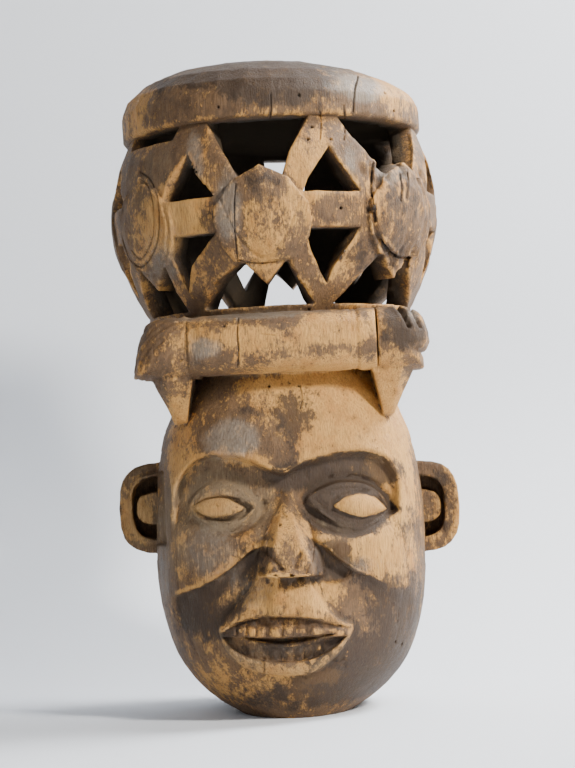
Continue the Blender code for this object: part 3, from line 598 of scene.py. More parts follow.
def carve_mouth(relief, x, z, level):
    """A tent-shaped upper lip, two rows of teeth with a slit between, and a lower lip in one sweep."""
    muzzle = np.hypot((x + 0.006) / 0.080, (level - 0.0795) / 0.060)
    relief = relief + 0.010 * ramp(muzzle, 1.0, 0.3)
    lip = inside_distance(x, z, LOWER_LIP)
    tent = inside_distance(x, z, UPPER_LIP)
    mouth = inside_distance(x, z, MOUTH)
    slit = inside_distance(x, z, SLIT)
    in_lower = ramp(level, 0.083, 0.078)
    relief = relief + 0.0048 * in_lower * ramp(lip, 0.0003, -0.0022)
    relief -= 0.0020 * in_lower * ridge(lip - 0.0022, 0.0024) * ramp(level, 0.060, 0.050)
    middle = 1 - np.clip(np.abs(x + 0.001) / 0.040, 0.0, 1.0)
    relief += (0.0078 + 0.0026 * middle) * ramp(tent, 0.0006, -0.0024)
    relief -= 0.0014 * ridge(tent - 0.0030, 0.0026) * ramp(level, 0.086, 0.094)
    upper_row = ramp(level, 0.0700, 0.0730)
    relief -= ramp(mouth, 0.0002, -0.0012) * (0.0074 - 0.0074 * upper_row)
    relief += 0.0030 * upper_row * ramp(mouth, 0.0002, -0.0012)
    relief -= 0.0010 * ridge(tent + 0.0018, 0.0006) * ramp(level, 0.094, 0.090)
    in_mouth = ramp(mouth, -0.0002, -0.0010)
    for gaps, where in ((UPPER_TEETH, 0.0034 * in_mouth * upper_row), (LOWER_TEETH, 0.0024 * in_mouth)):
        for gap in gaps:
            relief -= where * ridge(from_line(x, z, gap), 0.0009)
    relief -= 0.0016 * ridge(from_line(x, z, TEETH_LEDGE), 0.0008)
    return relief - 0.0085 * ramp(slit, 0.0003, -0.0009)


def carve_face(skin):
    """Sets the front of the head to its plain surface with the face's relief on it."""
    r = Regions(skin.places, skin.normals)
    share = r.face * ramp(np.abs(r.x), 0.113, 0.101) * ramp(r.z, 0.006, 0.016) * ramp(r.z, 0.262, 0.238)
    chosen = share > 0
    x, z = r.x[chosen], r.z[chosen]
    level = z + FACE_TILT * x
    relief = carve_sockets(x, z, level)
    relief = carve_left_eye(relief, x, z, level)
    relief = carve_right_eye(relief, x, z, level)
    relief = carve_folds(relief, x, z, level)
    relief = carve_nose(relief, x, z, level)
    relief = carve_mouth(relief, x, z, level)
    relief -= 0.0020 * ridge(from_line(x, z, HOOK_SCRATCH), 0.0006)
    goal = plain_front(x, z) - relief
    skin.places[chosen, 1] += share[chosen] * (goal - skin.places[chosen, 1])
    skin.write()


def finer_face(item):
    """Halves the mesh's spacing where the face's lines are."""
    def on_lines(place):
        return place.y < -0.060 and abs(place.x) < 0.108 and 0.030 < place.z < 0.238

    with reshaping(item.data) as shape:
        chosen = [edge for edge in shape.edges if all(on_lines(v.co) for v in edge.verts)]
        bmesh.ops.subdivide_edges(shape, edges=chosen, cuts=1, use_grid_fill=True)


# Everything else: moves along the outward direction of each point

def carve_temples(r):
    """The knife left a blunt upright ridge where the face plane meets each side; only the left one is
    carved.
    """
    on_head = r.face * ramp(r.z, 0.075, 0.110) * ramp(r.z, 0.275, 0.245)
    left = 0.0016 * ridge(r.x + 0.099 - 0.20 * np.maximum(r.z - 0.235, 0.0), 0.0065)
    return on_head * left


def carve_shells(r):
    """Cut lines round the shells, a shallow spine, and the flat shell's double line."""
    rise = np.zeros(len(r.x))
    for middle, rise_edge in ((FRONT_TURTLE, 0.0), (LEFT_TURTLE, 1.0), (RIGHT_TURTLE, 0.3)):
        across = (r.angle - middle) * CROWN_RADIUS
        edge = oval(across, r.z, (0.0, SHELL_Z), SHELL_HALF_WIDTH, SHELL_HALF_HEIGHT)
        near = r.crown * (np.abs(across) < 0.060)
        rise -= near * (0.0003 + 0.0011 * rise_edge) * ridge(edge + 0.0022, 0.0011)
        rise += near * 0.0009 * rise_edge * ridge(edge + 0.0048, 0.0016)
        if rise_edge == 0.0:
            hip = r.z - 0.3925 - 1.8 * across * across / 0.04
            rise -= near * 0.0016 * ridge(hip, 0.0012) * (np.abs(across) < 0.034)
            rise += near * 0.0014 * ridge(across - 0.002, 0.012) * ramp(edge, 0.0, -0.012)
    return rise


def carve_beasts(r):
    """Curved knife strokes on the left animal head, two deep slits on the right one."""
    left = within(r, LEFT_BEAST)
    sweep = np.hypot(r.x + 0.070, r.z - 0.285) + 0.0012 * noise(np.stack([r.x, r.y, r.z], 1), 0.012, 5)
    strokes = np.abs(np.sin(sweep / 0.0046 * math.pi))
    rise = -0.0013 * left * (1 - strokes) ** 2
    right = within(r, RIGHT_BEAST)
    for foot in (0.0985, 0.1085):
        cut = ((foot, 0.3500), (foot + 0.0065, 0.3400), (foot + 0.0105, 0.3290))
        slit = line_distance(r.x, r.z, cut)
        rise -= 0.0050 * right * ridge(slit, 0.0017)
        rise += 0.0010 * right * ridge(slit - 0.0030, 0.0013)
    return rise


def carve_bar(r):
    """The bar has flat top and front planes; here it gets the turned collar at the right end and a
    groove near its left end.
    """
    on_bar = within(r, BAR)
    collar = ridge(r.x - COLLAR_X, 0.0009) + 0.7 * ridge(r.x - SMALL_COLLAR_X, 0.0008)
    rise = -0.0010 * on_bar * collar
    rise += 0.0008 * on_bar * ramp(r.x, 0.0645, 0.0680)
    rise -= 0.0016 * on_bar * ridge(r.x + 0.0760, 0.0060)
    return rise


def erode_right_turtle(r, places):
    """The right turtle has lost its edges and part of its shell to decay."""
    across = (r.angle - RIGHT_TURTLE) * CROWN_RADIUS
    near = r.crown * ramp(np.abs(across), 0.052, 0.040)
    near = near * ramp(r.z, 0.372, 0.385) * ramp(r.z, 0.486, 0.470)
    rough = noise(places, (0.010, 0.010, 0.016), 31) + 0.5 * noise(places, (0.0045, 0.0045, 0.009), 32)
    pits = np.clip(rough, 0.0, 1.0)
    top = ramp(r.z, 0.445, 0.465)
    foot = ramp(r.z, 0.405, 0.392)
    rise = -near * pits * (0.0012 + 0.0045 * top + 0.0040 * foot)
    split = ((-0.040, 0.432), (-0.033, 0.409), (-0.022, 0.398), (-0.004, 0.391))
    crack = line_distance(across, r.z, split)
    rise -= near * 0.0045 * ridge(crack, 0.0022)
    return rise


def fill_left_ear(skin):
    """The hollow of the left ear is shallow, and its lobe is nearly flush with the rim."""
    x, y, z = skin.places.T
    u = np.clip((-x - EAR_ROOT_X) / EAR_HOLLOW_REACH, 0.0, 2.0)
    v = np.abs(z - EAR_Z) / EAR_HOLLOW_HALF_HEIGHT
    inside = (x < -EAR_HOLLOW_X) & (u**3 + v**3 < 1.0) & (y < EAR_HOLLOW_Y)
    skin.places[inside, 1] = EAR_FRONT_Y + (y[inside] - EAR_FRONT_Y) * LEFT_EAR_DEPTH
    skin.write()


def blend_right_turtle(skin):
    """The edge of the right turtle's shell has weathered into the wall round it."""
    r = Regions(skin.places, skin.normals)
    across = (r.angle - RIGHT_TURTLE) * CROWN_RADIUS
    where = r.crown * ramp(across, -0.006, -0.016) * ramp(across, -0.062, -0.054)
    where *= ramp(r.z, 0.392, 0.402) * ramp(r.z, 0.474, 0.466) * (r.outward > 0.2)
    for _ in range(TURTLE_SOFTENING):
        skin.smooth_places(0.7, where)
    skin.write()


def erode_left_ear(r, places):
    """Decay has eaten the rim of the left ear; only traces of its lobe stand out."""
    near = within(r, LEFT_EAR_RIM)
    rough = noise(places, (0.007, 0.007, 0.009), 41) + 0.6 * noise(places, 0.0035, 42)
    return -near * (0.0012 * np.clip(rough, 0, 1) + 0.0006)


WORM_HOLES = (
    (218, 107), (299, 95), (385, 93), (394, 111), (312, 127), (308, 139), (331, 139), (341, 208),
    (309, 310), (224, 326), (269, 386), (299, 386), (279.9, 524.5), (166, 606), (198.6, 654.5),
    (395.5, 642), (402, 644), (186.4, 518), (320.5, 653.3), (351.4, 614.5),
)

# Cracks and cut lines: places in the photograph, reach and depth in metres, how dark their painted
# shade is
CRACKS = (
    (((238, 318), (237, 335), (238.5, 352), (237.5, 366)), 0.0008, 0.0014, 0.6),
    (((336, 659.6), (343, 659), (349, 660.2), (356, 659.2)), 0.0012, 0.0026, 1.0),
    (((264, 657), (265, 665), (264, 675)), 0.0010, 0.0020, 0.8),
    (((380, 240), (388, 250), (397, 257), (410, 258)), 0.0018, 0.0040, 1.0),
    (((373.5, 163), (371.5, 180), (372.5, 200), (375, 221)), 0.0014, 0.0030, 0.9),
    (((400, 174), (402, 187), (401, 201)), 0.0011, 0.0022, 0.8),
    (((407.5, 171), (408.5, 185), (407, 198)), 0.0011, 0.0022, 0.8),
    (((358, 76), (355, 90), (353.5, 112)), 0.0011, 0.0020, 0.8),
    (((344, 106), (345, 125), (344, 140)), 0.0008, 0.0014, 0.6),
    (((319, 108), (321, 122), (320, 140)), 0.0008, 0.0012, 0.5),
    (((270, 92), (271, 108), (269, 122)), 0.0008, 0.0012, 0.5),
    (((235.5, 184), (234, 205), (235, 235), (237.5, 262)), 0.0008, 0.0013, 0.6),
    (((237, 260), (248, 262.5), (262, 263.5), (277, 262)), 0.0012, 0.0016, 0.5),
    (((140, 172), (151, 181), (158, 204), (158, 236), (151, 257), (140, 267), (129, 258),
      (122, 238)), 0.0011, 0.0014, 0.6),
    (((140, 179), (148, 187), (153, 206), (153, 234), (147, 251), (140, 259),
      (131, 250)), 0.0009, 0.0010, 0.5),
    (((300, 385), (302, 398), (300, 409)), 0.0007, 0.0010, 0.5),
    (((392, 600), (398, 612), (397, 626)), 0.0008, 0.0012, 0.5),
    (((262, 334), (281, 336)), 0.0006, 0.0006, 0.3),
)


def sight_tree(mesh):
    shape = bmesh.new()
    shape.from_mesh(mesh)
    tree = BVHTree.FromBMesh(shape)
    shape.free()
    return tree


def marks_on(mesh):
    """Where the worm holes and the cracks are on the skin: place, reach, depth, how dark their painted
    shade is.
    """
    tree = sight_tree(mesh)
    marks = []
    spots = [(pixel, 0.0016, 0.0032, 1.0) for pixel in WORM_HOLES]
    for line, reach, depth, dark in CRACKS:
        ends = line[:1] + line + line[-1:]
        for quad in zip(ends, ends[1:], ends[2:], ends[3:]):
            steps = max(2, int(2.2 * math.dist(quad[1], quad[2])))
            for step in range(steps):
                pixel = [along_curve(*parts, step / steps) for parts in zip(*quad)]
                spots.append((pixel, reach, depth, dark))
    for pixel, reach, depth, dark in spots:
        spot = tree.ray_cast(*sight_line(*pixel))[0]
        if spot is not None:
            marks.append((spot, reach, depth, dark))
    return marks


# From the solid to the carved piece

def fine_skin(node):
    """An even fine skin over a copy of the solid."""
    mesh = node.data.copy()
    with reshaping(mesh) as shape:
        bmesh.ops.remove_doubles(shape, verts=shape.verts, dist=0.00001)
    item = bpy.data.objects.new("carved_mask", mesh)
    bpy.context.scene.collection.objects.link(item)
    remesh = item.modifiers.new("even_skin", "REMESH")
    remesh.mode = "SHARP"
    remesh.octree_depth = SKIN_FINENESS
    remesh.scale = 0.90
    remesh.use_remove_disconnected = False
    settle(item)
    return item


def settle(item):
    """Applies the piece's modifiers to its mesh."""
    graph = bpy.context.evaluated_depsgraph_get()
    finished = bpy.data.meshes.new_from_object(item.evaluated_get(graph))
    item.modifiers.clear()
    item.data = finished
    item.data.name = item.name


def carve_forms(item):
    """The larger knife work, on the even skin."""
    skin = Skin(item.data)
    for share in (0.45, 0.35):
        skin.smooth_places(share)
    skin.write()
    round_head(skin)
    carve_face(skin)
    fill_left_ear(skin)
    blend_right_turtle(skin)
    r = Regions(skin.places, skin.normals)
    along = carve_temples(r) + carve_shells(r) + carve_beasts(r) + carve_bar(r)
    along += erode_right_turtle(r, skin.places) + erode_left_ear(r, skin.places)
    scoops = cells(skin.places, (0.020, 0.020, 0.030), 7)
    quiet = 1 - 0.8 * r.face * (r.z < 0.240)
    along += r.outer * quiet * (0.0010 * (scoops * scoops - 0.30))
    along += 0.00018 * noise(skin.places, (0.0026, 0.0026, 0.0110), 11) * r.outer
    along += 0.00025 * noise(skin.places, (0.0090, 0.0090, 0.0120), 12) * r.outer
    skin.places += skin.normals * along[:, None]
    skin.write()


def thin_out(item):
    """Fewer faces where nobody looks closely: inside, behind and below."""
    skin = Skin(item.data)
    r = Regions(skin.places, skin.normals)
    seen = 0.25 + 0.75 * ramp(-skin.normals[:, 1], -0.3, 0.2) * r.outer * ramp(-r.y, -0.02, 0.03)
    group = item.vertex_groups.new(name="keep_fine")
    for step in range(5):
        low, high = step / 5, (step + 1) / 5
        chosen = np.nonzero((seen >= low) & (seen < high + (step == 4)))[0]
        group.add([int(i) for i in chosen], (low + high) / 2, "REPLACE")
    faces = len(item.data.polygons) * 2
    thin = item.modifiers.new("thin_out", "DECIMATE")
    thin.ratio = min(1.0, MOST_TRIANGLES / faces)
    thin.vertex_group = "keep_fine"
    thin.invert_vertex_group = True
    thin.vertex_group_factor = 1.0
    settle(item)


def nearest(tree, places):
    """Number of the nearest mark and the distance to it, for each place."""
    found = [tree.find(place)[1:] for place in places]
    return np.array([number for number, away in found]), np.array([away for number, away in found])


def cut_marks(item, marks):
    """Worm holes and cracks: the skin near each is made finer, then pushed in."""
    tree = KDTree(len(marks))
    for number, mark in enumerate(marks):
        tree.insert(mark[0], number)
    tree.balance()
    reach, depth, dark = (np.array([mark[k] for mark in marks]) for k in (1, 2, 3))
    with reshaping(item.data) as shape:
        for widen in (1.9, 1.3):
            number, away = nearest(tree, [v.co for v in shape.verts])
            close = away < widen * reach[number]
            shape.verts.ensure_lookup_table()
            edges = list({e for i in np.nonzero(close)[0] for e in shape.verts[int(i)].link_edges})
            bmesh.ops.subdivide_edges(shape, edges=edges, cuts=1, use_grid_fill=True)
        bmesh.ops.triangulate(shape, faces=shape.faces)
    skin = Skin(item.data)
    number, away = nearest(tree, skin.places)
    share = ramp(away, reach[number], 0.35 * reach[number])
    skin.places -= skin.normals * (depth[number] * share)[:, None]
    skin.write()
    # With the skin: how much painted shade each point in a hole or crack gets, and how near it lies to
    # one
    return skin, dark[number] * share, ramp(away, 3.0 * reach[number], 1.6 * reach[number])


def store(mesh, name, values):
    layer = mesh.attributes.new(name, "FLOAT", "POINT")
    layer.data.foreach_set("value", np.clip(values, 0.0, 1.0).astype(np.float32))


# Where the finish is worn to tan wood, grey with film and painted highlights, dark with patina and
# painted shade, or dusty: place across, height and half sizes in millimetres, how much
WORN = (
    (48, 262, 48, 34, 0.75), (30, 285, 60, 20, 0.45), (90, 225, 18, 60, 0.65),
    (-10, 324, 70, 12, 0.35), (50, 330, 30, 14, 0.45), (0, 158, 16, 30, 0.28),
    (-62, 184, 18, 8, 0.75), (58, 180, 19, 9, 0.80), (62, 150, 36, 18, 0.60),
    (22, 106, 20, 12, 0.65), (-30, 108, 22, 12, 0.35), (85, 130, 18, 16, 0.45),
    (-60, 34, 40, 20, 0.35), (10, 36, 30, 6, 0.50), (-35, 222, 20, 6, 0.40),
    (-6, 420, 20, 35, 0.35), (22, 450, 12, 40, 0.40), (105, 440, 26, 30, 0.10),
    (-90, 430, 30, 30, 0.50), (-92, 240, 12, 60, 0.30), (-20, 128, 20, 7, 0.35),
    (148, 180, 8, 35, 0.35), (-135, 180, 16, 30, 0.45), (98, 190, 10, 30, 0.50),
    (110, 540, 22, 18, 0.45), (-125, 540, 24, 22, 0.30), (52, 392, 20, 20, 0.35),
    (40, 470, 10, 30, 0.35),
)
# Grey patches: a grey film on the wood, and painted highlights on the cap's right, a right strut, both
# animal heads, the left forehead and the bar's top
GREY = (
    (-45, 240, 24, 18, 0.80), (-70, 145, 28, 24, 0.55), (-62, 318, 12, 8, 0.70),
    (82, 541, 18, 13, 0.95), (60, 545, 16, 18, 0.40), (-30, 345, 70, 5, 0.60),
    (-40, 438, 12, 30, 0.75), (-95, 400, 30, 30, 0.40), (60, 128, 26, 8, 0.40),
    (-35, 110, 20, 16, 0.40), (-66, 480, 8, 26, 0.75), (100, 60, 20, 30, 0.20),
    (66, 470, 6, 20, 0.50), (100, 465, 16, 16, 0.45), (-75, 323, 12, 20, 0.35),
    (-115, 130, 10, 80, 0.35), (115, 340, 10, 8, 0.45), (-20, 60, 50, 6, 0.25),
)
# Dark patches: patina, and painted shade in the right socket and under the nose
DARK = (
    (6, 262, 18, 24, 0.55), (-72, 95, 34, 26, 0.60), (-40, 135, 12, 16, 0.50),
    (36, 136, 14, 16, 0.95), (55, 208, 42, 13, 1.10), (48, 168, 34, 10, 0.45),
    (88, 88, 28, 30, 0.65), (50, 40, 50, 24, 1.00), (0, 205, 20, 12, 0.80),
    (-60, 215, 40, 12, 0.25), (-85, 70, 30, 30, 0.20), (-10, 20, 70, 12, 0.40),
    (-20, 560, 80, 20, 0.80), (-90, 545, 36, 22, 0.15), (10, 535, 50, 14, 0.60),
    (0, 118, 22, 5, 0.60), (2, 62, 44, 7, 0.60), (140, 185, 12, 30, 0.60), (104, 330, 20, 20, 0.90),
    (105, 445, 26, 34, 0.30), (-40, 262, 26, 10, 0.35), (100, 160, 10, 20, 0.30),
    (-10, 455, 16, 16, 0.35), (-118, 330, 12, 20, 0.30), (80, 395, 30, 14, 0.45),
)
PALE = (
    (-62, 182, 40, 22, 0.40), (-20, 170, 12, 24, 0.40), (-98, 170, 10, 50, 0.35),
    (-135, 182, 20, 40, 0.60), (-66, 205, 30, 12, 0.30), (-30, 60, 30, 10, 0.30),
    (-100, 450, 30, 50, 0.30), (-40, 350, 60, 6, 0.35), (40, 160, 20, 10, 0.30),
)


def face_marks(r):
    """Crests rubbed to tan, and painted shade under the folds, under the right brow, in the right
    socket and along the foot of the upper lip: worn, dark and pale.
    """
    chosen = r.face * ramp(r.z, 0.250, 0.240) > 0
    x, z = r.x[chosen], r.z[chosen]
    level = z + FACE_TILT * x
    brow = inside_distance(x, z, BROWS)
    worn = 0.50 * ridge(brow - 0.0014, 0.0018) * ramp(level, 0.185, 0.205)
    # Painted shade in the upper right socket under the brow; dust in the upper left socket
    dark = 0.35 * ramp(brow, -0.001, -0.003) * ramp(level, 0.196, 0.206) * ramp(x, -0.012, 0.000)
    pale = 0.25 * ramp(brow, -0.001, -0.003) * ramp(level, 0.180, 0.196) * ramp(x, -0.004, -0.016)
    for fold, side in ((LEFT_FOLD, x < -0.014), (RIGHT_FOLD, x > 0.014)):
        below = height_at(x, fold) - z
        inside = side * ramp(np.abs(x), 0.104, 0.098)
        worn += 0.50 * inside * ridge(below + 0.0016, 0.0018)
        # Painted shade on the cheek just below the fold's overhang
        painted_fold_shade = inside * ramp(below, 0.0005, 0.0025) * ramp(below, 0.020, 0.008)
        dark += 0.32 * painted_fold_shade
        worn -= 0.25 * painted_fold_shade
    # Painted shade in the right socket round the eye
    socket = inside_distance(x, z, RIGHT_SOCKET)
    almond = inside_distance(x, z, RIGHT_ALMOND)
    ring = ramp(socket, 0.001, -0.002) * ramp(almond, 0.0002, 0.0012)
    dark += 0.60 * ring
    worn -= 0.60 * ring
    on_eye = ramp(almond, 0.0004, -0.0008)
    worn += 0.60 * on_eye
    dark -= 0.60 * on_eye
    ring = inside_distance(x, z, LEFT_RING)
    almond = inside_distance(x, z, LEFT_ALMOND)
    in_ring = ramp(ring, 0.0030, -0.001)
    pale += 0.45 * in_ring * ramp(almond, 0.0002, 0.0012)
    dark -= 0.25 * in_ring
    worn += 0.25 * ramp(almond, 0.0004, -0.0008)
    lip = inside_distance(x, z, LOWER_LIP)
    mouth = inside_distance(x, z, MOUTH)
    rim = ramp(lip, 0.0004, -0.0008) * ramp(mouth, -0.0004, 0.0008) * ramp(level, 0.086, 0.078)
    pale += 0.45 * rim
    worn += 0.25 * rim
    dark -= 0.35 * rim
    tent = inside_distance(x, z, UPPER_LIP)
    worn += 0.30 * ramp(tent, 0.0004, -0.0030)
    # Painted shade along the foot of the upper lip
    dark += 0.30 * ridge(tent - 0.0030, 0.0024) * (x < 0.000)
    dark += 0.35 * ridge(tent - 0.0040, 0.0034) * (x > 0.020)
    found = np.zeros((3, len(r.x)))
    found[:, chosen] = worn, dark, pale
    return found


def patches(r, table):
    """Soft patches on the front of the mask, added up."""
    total = np.zeros(len(r.x))
    for across, height, half_width, half_height, much in table:
        u = (r.x - across / 1000) / (half_width / 1000)
        v = (r.z - height / 1000) / (half_height / 1000)
        away = u**2 + v**2
        total += much * np.exp(-0.7 * away * away)
    return total * ramp(-r.y, -0.010, 0.020)


def mark_wear(item, skin, holes, near_marks):
    """Notes for the finish: how hollow, how worn, how far inside, and where the patches lie."""
    r = Regions(skin.places, skin.normals)
    bend = np.zeros(len(skin.places))
    for axis in range(3):
        bend += (skin.smoothed(skin.places[:, axis], 5) - skin.places[:, axis]) * skin.normals[:, axis]
    wide = skin.smoothed(bend / (1.5 * skin.spacing() ** 2), 4) * (1 - near_marks)
    wide *= 1 - 0.85 * within(r, LEFT_EAR)
    # Painted light: the left side, away from the key lamp, is painted less dark and paler
    painted_left_light = ramp(-r.x, 0.010, 0.090)
    store(item.data, "hollow", (wide - 20) / 160)
    store(item.data, "edge", (-wide - 30) / 200)
    store(item.data, "inside", np.maximum(r.inside_crown, r.inside_head))
    worn, dark, pale = face_marks(r)
    store(item.data, "worn", 0.20 + worn + patches(r, WORN))
    store(item.data, "grey", 0.22 + patches(r, GREY))
    store(item.data, "dark", 0.25 + dark - 0.14 * painted_left_light + patches(r, DARK))
    store(item.data, "pale", pale + 0.14 * painted_left_light + patches(r, PALE))
    store(item.data, "hole", holes)


def keep_in_box(skin):
    """The carved piece is nowhere wider than its solid."""
    low, high = (np.array(corner) for corner in cad_box)
    skin.places = np.clip(skin.places, low, high)
    skin.write()


def carve():
    item = fine_skin(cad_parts["helmet_mask"])
    finer_face(item)
    carve_forms(item)
    thin_out(item)
    skin, holes, near_marks = cut_marks(item, marks_on(item.data))
    keep_in_box(skin)
    mark_wear(item, skin, holes, near_marks)
    item.data.shade_smooth()
    return item


# Finish

WOOD_TAN = (0.550, 0.288, 0.074)
WOOD_ORANGE = (0.380, 0.160, 0.034)
WOOD_BROWN = (0.168, 0.092, 0.039)
WOOD_DEEP = (0.066, 0.036, 0.017)
PATINA_AND_PAINTED_SHADE = (0.027, 0.0165, 0.0095)
PALE_DUST_AND_LIGHT = (0.270, 0.205, 0.125)
FILM_AND_HIGHLIGHT_GREY = (0.250, 0.213, 0.168)
# Painted shade for the inside of the head and crown
INSIDE_PAINTED_SHADE = (0.045, 0.036, 0.027)
HOLE_PAINTED_SHADE = (0.006, 0.004, 0.003)


class Recipe:
    """Short ways to join the nodes of a finish. Every pattern sits in the piece's own space."""

    def __init__(self, name):
        self.material = bpy.data.materials.new(name)
        self.material.use_nodes = True
        self.tree = self.material.node_tree
        self.shader = self.tree.nodes["Principled BSDF"]
        self.object_place = self.tree.nodes.new("ShaderNodeTexCoord").outputs["Object"]

    def connect(self, value, socket):
        if isinstance(value, bpy.types.NodeSocket):
            self.tree.links.new(value, socket)
        elif isinstance(value, tuple):
            socket.default_value = (*value, 1.0)
        else:
            socket.default_value = value

    def node(self, kind, values, **settings):
        """A new node, with its settings and what goes into its sockets."""
        made = self.tree.nodes.new("ShaderNode" + kind)
        for name, setting in settings.items():
            setattr(made, name, setting)
        for socket, value in values.items():
            self.connect(value, made.inputs[socket])
        return made

    def calculate(self, operation, first, second=0.0):
        return self.node("Math", {0: first, 1: second}, operation=operation).outputs[0]

    def times(self, first, second):
        return self.calculate("MULTIPLY", first, second)

    def total(self, *values):
        """The values added up. A pair is a value and how much of it counts."""
        values = [self.times(*value) if isinstance(value, tuple) else value for value in values]
        result = values[0]
        for value in values[1:]:
            result = self.calculate("ADD", result, value)
        return result

    def step(self, value, start, end):
        sockets = {"Value": value, "From Min": start, "From Max": end}
        return self.node("MapRange", sockets, interpolation_type="SMOOTHSTEP").outputs["Result"]

    def mix(self, share, first, second):
        return self.node("Mix", {0: share, 6: first, 7: second}, data_type="RGBA").outputs[2]

    def pattern(self, scale, detail, roughness, strength):
        """Noise turned round its middle, so that it adds as much as it takes."""
        stretch = self.node("Mapping", {"Vector": self.object_place})
        stretch.inputs["Scale"].default_value = scale
        sockets = {"Scale": 1.0, "Detail": detail, "Roughness": roughness}
        texture = self.node("TexNoise", {"Vector": stretch.outputs["Vector"], **sockets})
        return self.times(self.calculate("SUBTRACT", texture.outputs["Fac"], 0.5), strength)

    def note(self, name):
        return self.node("Attribute", {}, attribute_name=name).outputs["Fac"]

    def bump(self, height, strength, distance):
        sockets = {"Strength": strength, "Distance": distance, "Height": height}
        return self.node("Bump", sockets).outputs["Normal"]


def wood_finish():
    """Tan wood under brown and dark patina with painted shade, dust in the hollows with painted light
    on the left, grey, rubbed patches with painted highlights, and painted shade inside and in the
    holes.
    """
    w = Recipe("weathered_wood")
    # Patterns, from a few centimetres down to the grain
    broad = w.pattern((30, 30, 22), 9.0, 0.70, 3.2)
    other = w.pattern((66, 66, 46), 9.0, 0.72, 3.0)
    middle = w.pattern((150, 150, 100), 8.0, 0.72, 2.8)
    speck = w.pattern((480, 480, 300), 4.0, 0.66, 2.4)
    grain = w.pattern((1000, 1000, 60), 3.0, 0.62, 2.4)
    worn, grey, dark, pale, hollow, edge, inside, hole = (
        w.note(name) for name in ("worn", "grey", "dark", "pale", "hollow", "edge", "inside", "hole")
    )

    # Bare wood, brown where it is less worn
    warmth = w.total(0.40, (grain, 0.2), (other, 0.5), (broad, 0.3))
    tan = w.mix(w.step(warmth, 0.2, 0.9), WOOD_TAN, WOOD_ORANGE)
    depth = w.total(0.5, (middle, 0.5), (other, 0.4))
    brown = w.mix(w.step(depth, 0.2, 0.8), WOOD_BROWN, WOOD_DEEP)
    bare = w.total(worn, (edge, 0.9), (hollow, -0.8), (broad, 0.50), (middle, 0.48), (grain, 0.14),
                   (speck, 0.36))
    colour = w.mix(w.step(bare, 0.26, 0.60), brown, tan)

    # Dark patina with painted shade, grey film with painted highlights, dust with painted light on the
    # left, flecks and grain over it, and painted shade inside and in the holes
    # Painted shade: this dark mix darkens the right socket, the folds, the nose's underside and the
    # upper lip's foot as well as the patina
    black = w.total(dark, (other, 0.55), (middle, -0.40), (speck, 0.40), (grain, 0.14),
                    (edge, -0.9), (hollow, 0.35))
    black = w.step(black, 0.42, 0.78)
    colour = w.mix(w.times(black, 0.86), colour, PATINA_AND_PAINTED_SHADE)
    # The grey mix is the wood's grey film, and also painted highlights where the lamps shine
    film_and_highlight = w.total(grey, (broad, -0.30), (middle, 0.22), (speck, 0.22), (edge, -0.3))
    film_and_highlight = w.step(film_and_highlight, 0.38, 0.95)
    colour = w.mix(w.times(film_and_highlight, 0.55), colour, FILM_AND_HIGHLIGHT_GREY)
    # Dust in the hollows and on the pale patches, with painted light on the left side
    dust_and_painted_light = w.total(pale, (hollow, 0.7), (middle, 0.30), (other, -0.25), (speck, 0.12))
    dust_and_painted_light = w.step(dust_and_painted_light, 0.15, 0.85)
    colour = w.mix(w.times(dust_and_painted_light, 0.48), colour, PALE_DUST_AND_LIGHT)
    fleck = w.step(w.total(speck, (middle, -0.5)), 0.26, 0.55)
    colour = w.mix(w.times(fleck, 0.60), colour, PATINA_AND_PAINTED_SHADE)
    colour = w.mix(w.times(w.step(grain, 0.25, -0.30), 0.40), colour, WOOD_DEEP)
    # Painted shade: the inside of the head and crown is painted near black
    colour = w.mix(w.times(inside, 0.97), colour, INSIDE_PAINTED_SHADE)
    # Painted shade in the worm holes and cracks
    colour = w.mix(hole, colour, HOLE_PAINTED_SHADE)
    w.connect(colour, w.shader.inputs["Base Color"])

    # Dust is dull, the film shines, and nothing shines inside
    rough = w.total(0.60, (dust_and_painted_light, 0.25), (film_and_highlight, -0.17), (speck, 0.10), (bare, 0.06))
    w.connect(rough, w.shader.inputs["Roughness"])
    outside = w.calculate("SUBTRACT", 1.0, inside)
    w.connect(w.times(outside, 0.33), w.shader.inputs["Specular IOR Level"])
    height = w.total((grain, 0.28), (speck, 0.26), (middle, 0.26), (black, 0.15))
    w.connect(w.bump(height, 0.80, 0.0012), w.shader.inputs["Normal"])
    return w.material


# Room

BACKDROP_START = 0.18
BACKDROP_CURVE = 0.36
BACKDROP_HEIGHT = 3.0


def see_through_from_behind(paper):
    """The paper doesn't hide the mask from someone who walks round it."""
    side = paper.node("NewGeometry", {}).outputs["Backfacing"]
    clear = paper.node("BsdfTransparent", {}).outputs["BSDF"]
    either = paper.node("MixShader", {0: side, 1: paper.shader.outputs["BSDF"], 2: clear})
    paper.connect(either.outputs["Shader"], paper.tree.nodes["Material Output"].inputs["Surface"])


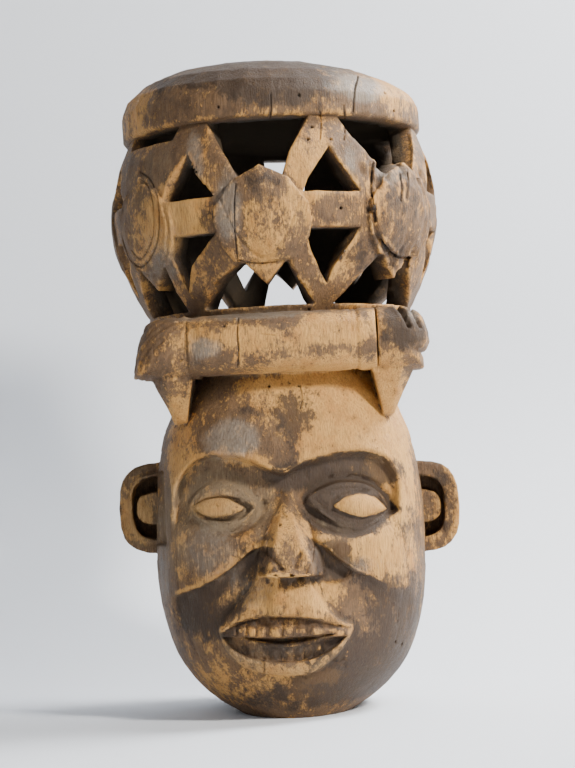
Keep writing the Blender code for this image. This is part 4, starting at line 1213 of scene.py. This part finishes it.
def room():
    """One sheet of pale paper: the floor runs up into the wall behind in a wide curve."""
    shape = bmesh.new()
    first = shape.verts.new((-6.0, -7.0, 0.0))
    second = shape.verts.new((6.0, -7.0, 0.0))
    row = [shape.edges.new((first, second))]
    bend = [(BACKDROP_START, 0.0)]
    for i in range(1, 17):
        turn = math.pi / 2 * i / 16
        back, up = BACKDROP_CURVE * math.sin(turn), BACKDROP_CURVE * (1 - math.cos(turn))
        bend.append((BACKDROP_START + back, up))
    bend.append((BACKDROP_START + BACKDROP_CURVE, BACKDROP_HEIGHT))
    for y, z in bend:
        grown = bmesh.ops.extrude_edge_only(shape, edges=row)["geom"]
        row = [part for part in grown if isinstance(part, bmesh.types.BMEdge)]
        for vert in {v for e in row for v in e.verts}:
            vert.co.y = y
            vert.co.z = z
    bmesh.ops.recalc_face_normals(shape, faces=shape.faces)
    shape.faces.ensure_lookup_table()
    if shape.faces[0].normal.z < 0:
        bmesh.ops.reverse_faces(shape, faces=shape.faces)
    mesh = bpy.data.meshes.new("studio_paper")
    shape.to_mesh(mesh)
    shape.free()
    mesh.shade_smooth()
    floor = bpy.data.objects.new("studio_paper", mesh)
    bpy.context.scene.collection.objects.link(floor)
    paper = Recipe("studio_paper")
    paper.shader.inputs["Base Color"].default_value = (0.76, 0.785, 0.825, 1.0)
    paper.shader.inputs["Roughness"].default_value = 0.9
    paper.shader.inputs["Specular IOR Level"].default_value = 0.1
    see_through_from_behind(paper)
    floor.data.materials.append(paper.material)


def soft_box(name, place, target, size, power, colour):
    light = bpy.data.lights.new(name, "AREA")
    light.shape = "RECTANGLE"
    light.size = size[0]
    light.size_y = size[1]
    light.energy = power
    light.color = colour
    item = bpy.data.objects.new(name, light)
    item.location = place
    item.rotation_euler = (Vector(target) - Vector(place)).to_track_quat("-Z", "Y").to_euler()
    bpy.context.scene.collection.objects.link(item)


def lights():
    soft_box("key_light", (1.16, -1.30, 1.22), (0, 0, 0.28), (0.26, 0.26), 60, (1.0, 0.97, 0.92))
    soft_box("side_light", (1.05, 0.40, 1.20), (0, -0.05, 0.25), (0.40, 0.40), 15, (1.0, 0.98, 0.95))
    soft_box("fill_light", (-1.10, -1.70, 1.30), (0, 0, 0.30), (1.0, 1.0), 8, (0.95, 0.97, 1.0))
    soft_box("paper_light", (1.35, 0.10, 1.80), (0.75, 0.54, 0.50), (0.7, 0.7), 72, (0.96, 0.98, 1.0))
    world = bpy.data.worlds.new("studio_air")
    world.use_nodes = True
    world.node_tree.nodes["Background"].inputs["Color"].default_value = (0.90, 0.93, 1.0, 1.0)
    world.node_tree.nodes["Background"].inputs["Strength"].default_value = 0.15
    bpy.context.scene.world = world


def camera():
    place, turn = camera_frame()
    lens = bpy.data.cameras.new("camera")
    lens.lens = LENS
    lens.sensor_fit = "VERTICAL"
    lens.sensor_height = 36.0
    item = bpy.data.objects.new("camera", lens)
    item.location = place
    item.rotation_euler = turn.to_euler()
    bpy.context.scene.collection.objects.link(item)
    bpy.context.scene.camera = item


mask = carve()
mask.data.materials.clear()
mask.data.materials.append(wood_finish())
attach(mask, "root")
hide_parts("helmet_mask")
room()
lights()
camera()
